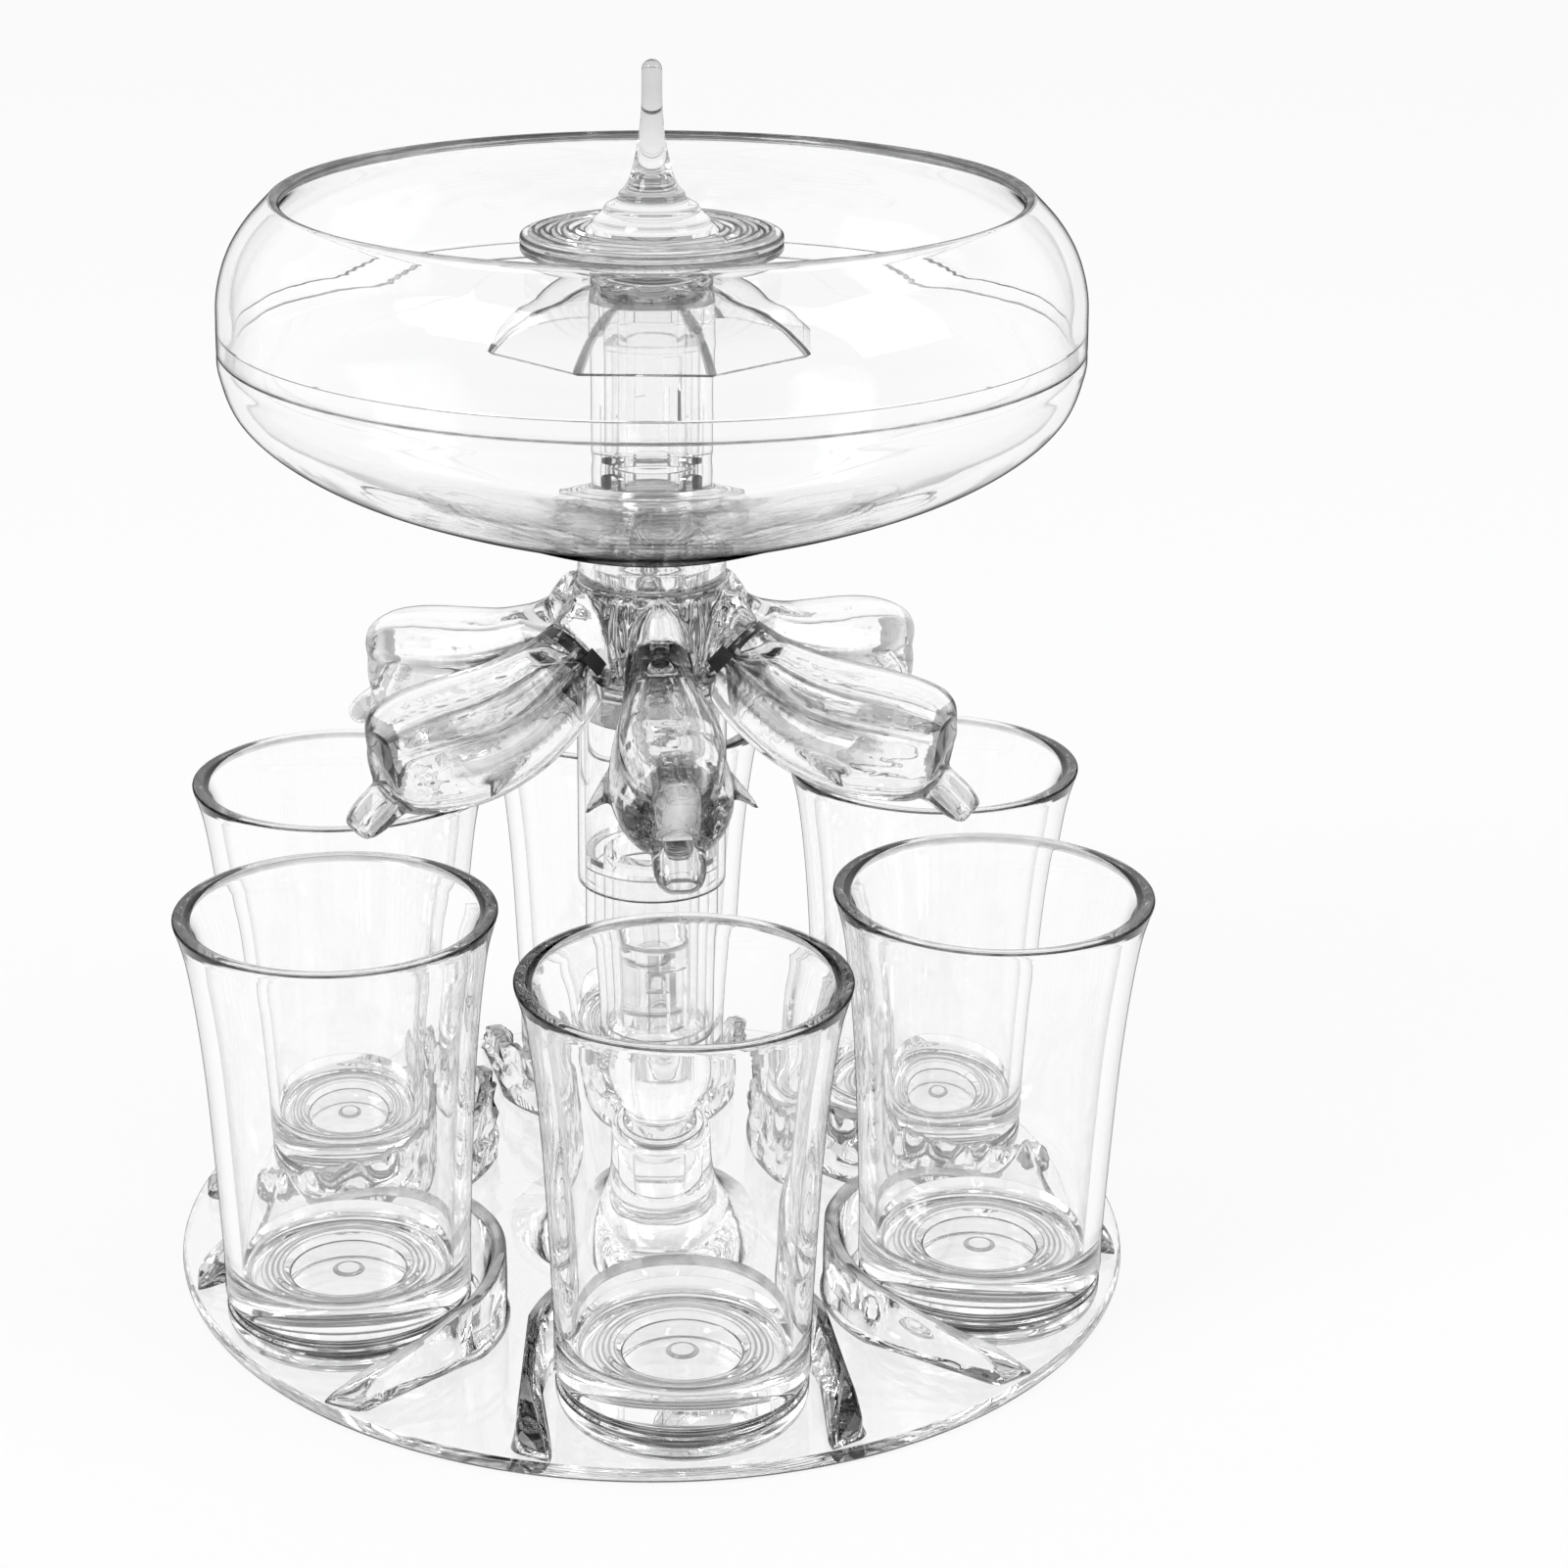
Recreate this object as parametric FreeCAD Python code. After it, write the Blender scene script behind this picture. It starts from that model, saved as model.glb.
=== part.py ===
import FreeCAD, Part
import math
import os

V = FreeCAD.Vector
Z_AXIS = V(0, 0, 1)
ORIGIN = V(0, 0, 0)

os.makedirs("parts", exist_ok=True)

# ---------------------------------------------------------------------------
# Driving dimensions, in mm. Heights are measured from the tray's top face;
# every piece is lifted by the tray's thickness when it is written, so that
# the finished object stands on z = 0. +Z is up, -Y is the front.
# ---------------------------------------------------------------------------

# Clearances
REST_GAP = 0.05              # between a piece and the flat face it stands on
SLIP_GAP = 0.05              # radial, between a piece and the bore it sits in
TURN_GAP = 0.08              # radial, between the two column tubes
FREE_GAP = 0.3               # between parts that only pass each other
MOUTH_GAP = 0.65             # each side, between a cup and its holder's tips
CUP_PLAY = 1.85              # radial, between a cup's foot and its holder

# Cup: heavy stepped base, slightly flared wall
CUP_HEIGHT = 70.3
CUP_RIM_R = 25.0
CUP_BASE_R = 19.55
CUP_WALL = 2.75
CUP_FLOOR = 10.0
CUP_STEP = 6.3               # top of the groove that goes round the base
GROOVE_DEPTH = 0.8
RIM_CURVE = 0.45
# Shares of the height above the base, and of the flare from base to rim
CUP_FLARE = [(0.0, 0.0), (0.10, 0.035), (0.28, 0.12), (0.49, 0.235),
             (0.65, 0.365), (0.79, 0.525), (0.90, 0.70), (0.972, 0.895),
             (1.0, 1.0)]

# Ring of stations that the cups, spouts and holders share
STATIONS = 6
STATION_PHASE = -85.45       # azimuth of the front station, degrees
CUP_SPACING = 8.7            # between neighbouring rims
CUP_OVERHANG = 4.6           # how far the rims stand out past the tray
STATION_RADIUS = (2 * CUP_RIM_R + CUP_SPACING) / (2 * math.sin(math.pi / STATIONS))

# Tray
TRAY_THICKNESS = 2.4
TRAY_RADIUS = STATION_RADIUS + CUP_RIM_R - CUP_OVERHANG
TRAY_EDGE = 0.7

# Cup holder: a C of wall that is open towards the tray's edge
HOLDER_WALL = 3.8
HOLDER_INNER_R = CUP_BASE_R + CUP_PLAY
HOLDER_OUTER_R = HOLDER_INNER_R + HOLDER_WALL
HOLDER_FOOT_ANGLE = 114.0    # where the arms' feet start to widen
HOLDER_FOOT_SPREAD = 4.2
HOLDER_HEIGHT = 12.6
PEAK_HEIGHT = 17.6
# Top edge: share of the outer radius, outwards; share of the height
PLAIN_CREST = [(-1.06, 1.0), (-0.85, 0.985), (-0.60, 0.89), (-0.32, 0.78),
               (0.0, 0.59), (0.40, 0.42), (0.92, 0.28)]
PEAK_CREST = [(-1.06, 1.0), (-0.85, 0.985), (-0.60, 0.89), (-0.32, 0.79),
              (-0.185, 0.84), (-0.065, 1.12), (0.024, 0.0), (0.13, 1.06),
              (0.26, 0.68), (0.44, 0.44), (0.92, 0.28)]
PEAK_POINT = 6               # this point of the crest has the peak's height
PEAK_ARMS = {1: 1, 5: -1}    # the rear arm of each of the two side holders

# Pedestal in the middle of the tray
PEDESTAL_TOP = 18.4
PEDESTAL_TOP_R = 11.1
PEDESTAL_FOOT_R = 24.5
SOCKET_DEPTH = 11.0
SPIGOT_R = 6.0
# Shares of the height from the top down, and of the flare
PEDESTAL_FLARE = [(0.0, 0.0), (0.185, 0.015), (0.375, 0.045), (0.565, 0.134),
                  (0.75, 0.321), (0.891, 0.619), (1.0, 1.0)]

# Column: foot, lower tube, lock sleeve, outer tube
LOWER_TUBE_R = 10.82
LOWER_TUBE_WALL = 1.42
LOWER_TUBE_BORE = LOWER_TUBE_R - LOWER_TUBE_WALL
OUTER_TUBE_WALL = 1.1
OUTER_TUBE_BORE = LOWER_TUBE_R + TURN_GAP
OUTER_TUBE_R = OUTER_TUBE_BORE + OUTER_TUBE_WALL
OUTER_TUBE_LENGTH = 33.9
TUBE_LAP = 3.5
FOOT_FLANGE_R = PEDESTAL_TOP_R - 1.4
FOOT_FLANGE_T = 1.2
FOOT_NECK_R = 7.9
FOOT_HEIGHT = 17.6
BULB_SWELL = 0.23            # how far the bulb stands out past the tube
# Shares of the foot's height and of the bulb's radius
FOOT_BULB = [(0.261, 0.751), (0.386, 0.896), (0.545, 0.977), (0.693, 1.0),
             (0.864, 0.987)]
LIP_HEIGHT = 1.6
SLEEVE_SPACE = 1.6           # between the lower tube's bore and the sleeve
SLEEVE_WALL = 1.35
SLEEVE_FLANGE_T = 2.0
TWIST_ANGLE = 28.0           # travel of the twist lock, degrees
PIN_R = 1.4
PIN_RISE = 11.0              # above the foot's top
BOSS_ABOVE_PIN = 5.0

# Spouts: leaping-fish bodies along a line that falls from the hub
SPOUT_CLEARANCE = 12.0       # from a cup's rim up to the outlet's middle
SPOUT_INSET = 3.8            # the outlet lies this far in from a cup's axis
SPOUT_DROP = 20.9
SPOUT_ROOT_OUT = 1.4         # root's middle, beyond the outer tube's radius
ROOT_SLOPE = -40.0
ROOT_HALF_H = 6.9
ROOT_HALF_W = 5.5
BODY_HALF_H = 10.1
BODY_HALF_W = 9.5
BEAK_HALF_H = 2.75
BEAK_HALF_W = 4.1
SPOUT_WALL = 2.1
SEAL_THICKNESS = 1.1
CHANNEL_R = 1.7
INLET_BEHIND = 6.0           # the inlet's bore starts this far behind the root
INLET_DEPTH = 8.0            # and ends this far beyond it, in the hollow body
BEAK_BORE_R = 1.5
BEAK_SLOPE = -34.5
OUTLET_AHEAD = 2.0           # the outlet's bore starts this far past the beak
OUTLET_DEPTH = 16.0          # and ends this far back from there, in the hollow
FIN_SPAN = 3.6
FIN_T = 1.1
FIN_TILT = 14.0
FIN_ROOT = 3.5               # half the fin's length where it leaves the body
FIN_BURY = 1.6               # how deep it starts inside the body
FIN_TIP = (5.2, 6.6)         # the swept tip's two ends, beyond the fin's middle
FIN_BELOW = 2.02             # below the body's middle line
# Shares of the reach, of the drop, of the half height and of the half width
SPOUT_BODY = [(0.087, 0.144, 0.81, 0.67), (0.195, 0.268, 0.91, 0.78),
              (0.34, 0.383, 0.97, 0.905), (0.508, 0.464, 1.0, 1.0),
              (0.665, 0.493, 0.98, 0.98), (0.781, 0.512, 0.85, 0.863),
              (0.858, 0.545, 0.555, 0.59), (0.892, 0.574, 0.257, 0.295)]
SPOUT_BEAK = [(0.766, 0.708, 1.2, 1.12), (0.863, 0.813, 1.0, 1.0),
              (0.935, 0.909, 0.91, 0.95), (0.983, 0.976, 0.69, 0.756),
              (1.0, 1.0, 0.327, 0.39)]
OUTLET_R = STATION_RADIUS - SPOUT_INSET
OUTLET_Z = CUP_HEIGHT + SPOUT_CLEARANCE
ROOT_R = OUTER_TUBE_R + SPOUT_ROOT_OUT
ROOT_Z = OUTLET_Z + SPOUT_DROP

# Hub
HUB_BELOW_ROOT = 6.8
HUB_ABOVE_ROOT = 10.2
HUB_SPIGOT = 5.5             # how far the hub reaches into the outer tube
HUB_NECK_R = 9.0
NECK_WALL = 1.2
CHAMBER_R = 5.4
CHAMBER_BELOW_ROOT = 1.2
SEAT_DEPTH = 2.4
SEAT_BELOW_FLANGE = 4.8
COLLAR_WALL = 2.75
COLLAR_HEIGHT = 5.95
FLUTE_R = 1.3
FLUTE_LENGTH = 11.0
HUB_BOTTOM = ROOT_Z - HUB_BELOW_ROOT
HUB_SHOULDER = ROOT_Z + HUB_ABOVE_ROOT
SKIRT_R = OUTER_TUBE_R + 0.2
SKIRT_TOP = HUB_BOTTOM + REST_GAP + 1.6
NECK_BORE_R = HUB_NECK_R - NECK_WALL

# Bowl
BOWL_R = 66.45
BOWL_WALL = 2.2
DISH_HEIGHT = 32.4
SEAM_HEIGHT = 2.9
RING_HEIGHT = 19.2
RIM_R = 57.9
SEAM_GAP = 0.05
HOLE_GAP = 0.1
# Shares of the way from the hole to the widest line, outwards and upwards
DISH_LINE = [(0.0, 0.0), (0.155, 0.025), (0.364, 0.157), (0.574, 0.29),
             (0.748, 0.423), (0.879, 0.568), (0.961, 0.719), (0.997, 0.898),
             (1.0, 1.0)]
# Shares of the way from the widest line in to the rim, and upwards
RING_LINE = [(0.004, 0.0), (0.041, 0.281), (0.216, 0.547), (0.52, 0.771),
             (1.0, 1.0)]
BOWL_FLOOR = HUB_SHOULDER + REST_GAP + COLLAR_HEIGHT + HOLE_GAP
BOWL_HOLE_R = HUB_NECK_R + HOLE_GAP
SEAM_LOW = BOWL_FLOOR + DISH_HEIGHT
SEAM_HIGH = SEAM_LOW + SEAM_HEIGHT
RIM_TOP = SEAM_HIGH + RING_HEIGHT

# Clamp flange on the bowl's floor
FLANGE_R = 15.3
FLANGE_HEIGHT = 4.6
FLANGE_LOW = BOWL_FLOOR + BOWL_WALL + HOLE_GAP
FLANGE_TOP = FLANGE_LOW + FLANGE_HEIGHT

# Standpipe, guide, valve
STANDPIPE_R = 9.47
STANDPIPE_WALL = 2.07
STANDPIPE_LENGTH = 32.0
PORTS = 4
PORT_WIDTH = 3.6
PORT_HEIGHT = 5.0
LEDGE_RISE = 7.6             # above the flange
LEDGE_DEPTH = 0.5
GUIDE_DROP = 6.2             # below the standpipe's top
GUIDE_WALL = 1.15
GUIDE_COLLAR = 1.6
GUIDE_SLOT_W = 2.6
GUIDE_SLOT_H = 9.0
ROD_R = 5.2
ROD_WALL = 1.3
PLUG_LIP = 1.25              # how far the plug stands out past the chamber
PLUG_HEIGHT = 4.4
PLUG_NOSE = 1.4
SEAL_RING_R = 0.7
STANDPIPE_BORE = STANDPIPE_R - STANDPIPE_WALL
STANDPIPE_TOP = FLANGE_TOP + STANDPIPE_LENGTH
SEAT_TOP = FLANGE_TOP - SEAT_BELOW_FLANGE
SEAT_LOW = SEAT_TOP - SEAT_DEPTH

# Umbrella
PANELS = 8
UMBRELLA_PHASE = -92.5       # azimuth of the front panel's middle
UMBRELLA_R = 26.3
UMBRELLA_DROP = 8.8
SHEET = 0.9
UMBRELLA_HUB_R = 9.4
UMBRELLA_HUB_H = 2.55
# Shares of the way out and of the drop, along a rib
RIB_LINE = [(0.0, 0.0), (0.301, 0.068), (0.493, 0.182), (0.644, 0.33),
            (0.799, 0.534), (0.89, 0.727), (0.959, 0.886), (1.0, 1.0)]
UMBRELLA_HUB_TOP = STANDPIPE_TOP + REST_GAP + UMBRELLA_HUB_H

# Splash knob
KNOB_NECK_R = 8.4
KNOB_NECK_H = 4.15
KNOB_BOSS_R = 10.6
KNOB_BOSS_H = 1.4
DISC_R = 20.1
DISC_T = 2.9
RIPPLES = 3
RIPPLE_H = 0.5
CONE_R = 10.2
SPIKE_HEIGHT = 25.8
TIP_R = 1.55
# Shares of the spike's height and of the cone's radius
KNOB_CONE = [(0.1395, 0.726), (0.19, 0.559), (0.236, 0.461), (0.283, 0.377),
             (0.3295, 0.324), (0.415, 0.265), (0.504, 0.221), (0.616, 0.181),
             (0.733, 0.157)]


# ---------------------------------------------------------------------------
# Helpers
# ---------------------------------------------------------------------------
def rz(r, z):
    """Point of the half plane x > 0 that is turned round the object's axis."""
    return V(r, 0, z)


def line_edges(points):
    """Straight edges through the points, skipping repeated ones."""
    edges = []
    for a, b in zip(points, points[1:]):
        if a.distanceToPoint(b) > 1e-6:
            edges.append(Part.LineSegment(a, b).toShape())
    return edges


def spline_edge(points):
    """One smooth edge through the points."""
    curve = Part.BSplineCurve()
    curve.interpolate(points)
    return curve.toShape()


def face_of(edges):
    """Flat face inside a closed outline."""
    return Part.Face(Part.Wire(Part.__sortEdges__(edges)))


def turned(edges):
    """Solid of revolution of a closed outline that lies in the XZ plane."""
    return face_of(edges).revolve(ORIGIN, Z_AXIS, 360)


def tube(r_out, r_in, z0, z1):
    """Plain ring or tube about the object's axis."""
    outer = Part.makeCylinder(r_out, z1 - z0, V(0, 0, z0))
    if r_in <= 0:
        return outer
    return outer.cut(Part.makeCylinder(r_in, z1 - z0 + 2, V(0, 0, z0 - 1)))


def about_z(shape, degrees):
    """Copy of a shape, turned about the object's axis."""
    copy = shape.copy()
    copy.rotate(ORIGIN, Z_AXIS, degrees)
    return copy


def station_angle(index):
    """Azimuth of a station; 0 is the front one, counted anticlockwise."""
    return STATION_PHASE + index * 360.0 / STATIONS


def blend_points(start, end, shares):
    """Points between two corners, from shares of the way in r and in z."""
    return [(start[0] + (end[0] - start[0]) * a, start[1] + (end[1] - start[1]) * b)
            for a, b in shares]


def inset_line(points, distance):
    """Points moved to the left of the line's direction, square to it."""
    out = []
    for i, (r, z) in enumerate(points):
        a = points[max(i - 1, 0)]
        b = points[min(i + 1, len(points) - 1)]
        dr, dz = b[0] - a[0], b[1] - a[1]
        length = math.hypot(dr, dz)
        out.append((r - dz / length * distance, z + dr / length * distance))
    return out


def one_solid(shape):
    """The single solid of a boolean result."""
    shape = shape.removeSplitter()
    solids = sorted(shape.Solids, key=lambda s: s.Volume, reverse=True)
    if len(solids) > 1:
        rest = sum(s.Volume for s in solids[1:])
        print("  note: %d solids, largest kept, rest %.3f mm3" % (len(solids), rest))
    return solids[0]


def save(name, shape):
    """Lift a piece onto the tray's thickness and write it as a STEP file."""
    placed = shape.copy()
    placed.translate(V(0, 0, TRAY_THICKNESS))
    placed.exportStep("parts/%s.step" % name)
    box = placed.BoundBox
    print("%-18s vol %9.1f  valid %s  z %.2f..%.2f  solids %d"
          % (name, placed.Volume, placed.isValid(), box.ZMin, box.ZMax,
             len(placed.Solids)))


# ---------------------------------------------------------------------------
# Cup
# ---------------------------------------------------------------------------
def make_cup():
    """Shot cup about the Z axis: foot, groove, flared wall, dished base."""
    base = CUP_BASE_R
    band_top = CUP_FLOOR + 2.5
    lip_z = CUP_HEIGHT - RIM_CURVE
    flare = [(base + (CUP_RIM_R - 0.1 - base) * b, band_top + (lip_z - band_top) * a)
             for a, b in CUP_FLARE]
    outside = [rz(r, z) for r, z in flare]
    inside = [rz(r - CUP_WALL, z) for r, z in reversed(flare[1:])]
    inside.append(rz(base - CUP_WALL, CUP_FLOOR + 3.0))
    foot_r = base - 2.35
    foot = [rz(0, 0.9), rz(base / 2, 0.9), rz(base / 2 + 0.8, 0), rz(foot_r, 0)]
    corner = Part.Arc(rz(foot_r, 0), rz(base - 0.8, 0.65), rz(base - 0.25, 2.2)).toShape()
    groove = base - GROOVE_DEPTH
    step = [rz(base - 0.25, 2.2), rz(base - 0.15, CUP_STEP - 2.0),
            rz(groove, CUP_STEP - 1.4), rz(groove, CUP_STEP - 0.7),
            rz(base, CUP_STEP), outside[0]]
    top = [outside[-1], rz(CUP_RIM_R - RIM_CURVE, CUP_HEIGHT),
           rz(CUP_RIM_R - CUP_WALL + 0.3, CUP_HEIGHT), inside[0]]
    floor_r = base - CUP_WALL - 2.9
    low = Part.Arc(inside[-1], rz(floor_r + 2.0, CUP_FLOOR + 0.9),
                   rz(floor_r, CUP_FLOOR)).toShape()
    floor = [rz(floor_r, CUP_FLOOR), rz(base / 2 + 0.5, CUP_FLOOR),
             rz(base / 2 - 0.1, CUP_FLOOR - 1.0), rz(0, CUP_FLOOR - 1.0), rz(0, 0.9)]
    edges = line_edges(foot) + [corner] + line_edges(step)
    edges += [spline_edge(outside)] + line_edges(top)
    edges += [spline_edge(inside), low] + line_edges(floor)
    return turned(edges)


# ---------------------------------------------------------------------------
# Tray: disc, holders and pedestal
# ---------------------------------------------------------------------------
def make_disc():
    """Round tray with a rounded edge."""
    low, e, r = -TRAY_THICKNESS, TRAY_EDGE, TRAY_RADIUS
    outline = line_edges([rz(r - e, 0), rz(0, 0), rz(0, low), rz(r - e, low)])
    edge = Part.Arc(rz(r - e, low), rz(r, low / 2), rz(r - e, 0)).toShape()
    return turned(outline + [edge])


def holder_plan():
    """Plan of one holder, cup axis at the origin, outward along +X."""
    reach = TRAY_RADIUS - STATION_RADIUS     # the tray's edge, on the cup's line
    mouth = CUP_BASE_R + MOUTH_GAP
    inner, outer = HOLDER_INNER_R, HOLDER_OUTER_R
    kink = math.radians(HOLDER_FOOT_ANGLE)
    ox, oy = outer * math.cos(kink), outer * math.sin(kink)
    far = reach + 4.0
    foot_end = oy + HOLDER_FOOT_SPREAD * (far - ox) / (reach - ox)
    edges = [Part.Arc(V(0, inner, 0), V(-inner, 0, 0), V(0, -inner, 0)).toShape(),
             Part.Arc(V(ox, oy, 0), V(-outer, 0, 0), V(ox, -oy, 0)).toShape()]
    for side in (1, -1):
        edges += line_edges([V(0, side * inner, 0), V(far, side * mouth, 0),
                             V(far, side * foot_end, 0), V(ox, side * oy, 0)])
    return face_of(edges)


def crest_profile(crest, side, peaked):
    """Side view of one arm, as a slab that its half of the plan is cut to."""
    points = []
    for i, (a, b) in enumerate(crest):
        z = PEAK_HEIGHT if peaked and i == PEAK_POINT else HOLDER_HEIGHT * b
        points.append(V(HOLDER_OUTER_R * a, 0, z))
    last, first = points[-1], points[0]
    rest = line_edges([last, V(last.x, 0, 0), V(first.x, 0, 0), first])
    return face_of([spline_edge(points)] + rest).extrude(V(0, side * 60, 0))


def make_holder(index):
    """One holder wall, standing in place on the station along +X."""
    peak_side = PEAK_ARMS.get(index, 0)
    plan = holder_plan().extrude(V(0, 0, PEAK_HEIGHT + HOLDER_HEIGHT))
    halves = []
    for side in (1, -1):
        peaked = side == peak_side
        crest = PEAK_CREST if peaked else PLAIN_CREST
        halves.append(plan.common(crest_profile(crest, side, peaked)))
    wall = halves[0].fuse(halves[1])
    wall.translate(V(STATION_RADIUS, 0, 0))
    rim = Part.makeCylinder(TRAY_RADIUS - TRAY_EDGE, 80, V(0, 0, -10))
    return one_solid(wall.common(rim))


def make_pedestal():
    """Flared pedestal with the socket that the column's foot stands in."""
    span = PEDESTAL_FOOT_R - PEDESTAL_TOP_R
    flank = [rz(PEDESTAL_TOP_R + span * b, PEDESTAL_TOP * (1 - a))
             for a, b in PEDESTAL_FLARE]
    base = line_edges([flank[-1], rz(0, 0), rz(0, PEDESTAL_TOP), flank[0]])
    socket = Part.makeCylinder(SPIGOT_R + SLIP_GAP, SOCKET_DEPTH + 1,
                               V(0, 0, PEDESTAL_TOP - SOCKET_DEPTH))
    return one_solid(turned([spline_edge(flank)] + base).cut(socket))


# ---------------------------------------------------------------------------
# Column
# ---------------------------------------------------------------------------
FOOT_TOP = PEDESTAL_TOP + FOOT_HEIGHT
OUTER_TUBE_LOW = HUB_BOTTOM - OUTER_TUBE_LENGTH
LOWER_TUBE_TOP = OUTER_TUBE_LOW + TUBE_LAP
SLEEVE_R = LOWER_TUBE_BORE - SLEEVE_SPACE
SLEEVE_BORE = SLEEVE_R - SLEEVE_WALL
PIN_Z = FOOT_TOP + PIN_RISE
BOSS_TOP = PIN_Z + BOSS_ABOVE_PIN


def make_foot():
    """Column foot: spigot, flange, neck, bulb, boss and two lock pins."""
    boss_r = SLEEVE_BORE - FREE_GAP
    lip_r = LOWER_TUBE_BORE - SLIP_GAP
    lip_top = FOOT_TOP + LIP_HEIGHT
    z_spigot = PEDESTAL_TOP - SOCKET_DEPTH + 0.4
    z_flange = PEDESTAL_TOP + REST_GAP
    z_neck = z_flange + FOOT_FLANGE_T
    bulb_r = LOWER_TUBE_R + BULB_SWELL
    bulb = [rz(bulb_r * b, PEDESTAL_TOP + FOOT_HEIGHT * a) for a, b in FOOT_BULB]
    bulb.append(rz(LOWER_TUBE_R, FOOT_TOP))
    low = [rz(0, z_spigot), rz(SPIGOT_R - 0.6, z_spigot),
           rz(SPIGOT_R, z_spigot + 0.6), rz(SPIGOT_R, z_flange),
           rz(FOOT_FLANGE_R, z_flange), rz(FOOT_FLANGE_R, z_neck),
           rz(FOOT_NECK_R, z_neck), rz(FOOT_NECK_R, z_neck + 2.2), bulb[0]]
    high = [bulb[-1], rz(lip_r, FOOT_TOP), rz(lip_r, lip_top), rz(boss_r, lip_top),
            rz(boss_r, BOSS_TOP - 0.8), rz(boss_r - 0.8, BOSS_TOP),
            rz(0, BOSS_TOP), rz(0, z_spigot)]
    foot = turned(line_edges(low) + [spline_edge(bulb)] + line_edges(high))
    reach = SLEEVE_R - 0.1
    pins = Part.makeCylinder(PIN_R, 2 * reach, V(-reach, 0, PIN_Z), V(1, 0, 0))
    return one_solid(foot.fuse(about_z(pins, STATION_PHASE)))


def make_sleeve():
    """Lock sleeve: flanged tube with two L-shaped slots, open at the bottom."""
    low = FOOT_TOP + LIP_HEIGHT + 0.6
    flange_low = LOWER_TUBE_TOP + REST_GAP
    top = flange_low + SLEEVE_FLANGE_T
    body = tube(SLEEVE_R, SLEEVE_BORE, low, top)
    body = body.fuse(tube(OUTER_TUBE_BORE - SLIP_GAP, SLEEVE_BORE, flange_low, top))
    half = PIN_R + FREE_GAP
    wide = SLEEVE_R + 2
    entry = Part.makeBox(2 * wide, 2 * half, PIN_Z - low + half + 2,
                         V(-wide, -half, low - 2))
    swept = math.degrees(math.asin(half / SLEEVE_BORE))
    body = body.cut(about_z(entry, STATION_PHASE + TWIST_ANGLE))
    sector = tube(wide, SLEEVE_BORE - 2, PIN_Z - half, PIN_Z + half)
    for side in (0, 180):
        start = STATION_PHASE - swept + side
        middle = start + swept + TWIST_ANGLE / 2
        far = 3 * SLEEVE_R
        corners = [V(0, 0, 0)]
        for angle in (start, middle, start + swept + TWIST_ANGLE):
            a = math.radians(angle)
            corners.append(V(far * math.cos(a), far * math.sin(a), 0))
        corners.append(V(0, 0, 0))
        wedge = Part.Face(Part.makePolygon(corners)).extrude(V(0, 0, PIN_Z + 20))
        body = body.cut(sector.common(wedge))
    return one_solid(body)


# ---------------------------------------------------------------------------
# Spouts, their seals, and the hub
# ---------------------------------------------------------------------------
def section(point_r, point_z, slope, half_h, half_w):
    """Smooth oval wire across the centre line of a spout, in the XZ plane."""
    a = math.radians(slope)
    normal = V(-math.sin(a), 0, math.cos(a))
    side = V(0, 1, 0)
    centre = V(point_r, 0, point_z)
    points = []
    for i in range(16):
        t = 2 * math.pi * i / 16
        points.append(centre + normal * (half_h * math.sin(t))
                      + side * (half_w * math.cos(t)))
    curve = Part.BSplineCurve()
    curve.interpolate(points, PeriodicFlag=True)
    return Part.Wire(curve.toShape())


def on_root_axis(distance):
    """Point of the root's axis, a distance beyond the root plane."""
    a = math.radians(ROOT_SLOPE)
    return ROOT_R + distance * math.cos(a), ROOT_Z + distance * math.sin(a)


def root_direction():
    """Direction in which the root's axis leaves the hub."""
    a = math.radians(ROOT_SLOPE)
    return V(math.cos(a), 0, math.sin(a))


def skirt_room():
    """Room for the hub's skirt, which spouts and seals are trimmed to clear."""
    return tube(SKIRT_R + FREE_GAP, 0, OUTLET_Z - SPOUT_DROP, SKIRT_TOP + FREE_GAP)


def waist_radius(z):
    """Largest hub radius at a height that stays behind the root planes."""
    a = math.radians(ROOT_SLOPE)
    return ROOT_R - ((z - ROOT_Z) * math.sin(a) + FREE_GAP) / math.cos(a)


def spout_sections(shares, half_h, half_w):
    """Centre points and half sizes along the spout, from their shares."""
    reach, drop = OUTLET_R - ROOT_R, ROOT_Z - OUTLET_Z
    return [(ROOT_R + reach * a, ROOT_Z - drop * b, half_h * c, half_w * d)
            for a, b, c, d in shares]


def line_slopes(line):
    """Slope in degrees at each point of a centre line."""
    out = []
    for i in range(len(line)):
        a = line[max(i - 1, 0)]
        b = line[min(i + 1, len(line) - 1)]
        out.append(math.degrees(math.atan2(b[1] - a[1], b[0] - a[0])))
    return out


def lofted(line, inset, angles):
    """Closed loft through the sections, each shrunk by the inset."""
    wires = [section(r, z, a, h - inset, w - inset)
             for (r, z, h, w), a in zip(line, angles)]
    return Part.makeLoft(wires, True, False)


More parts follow.
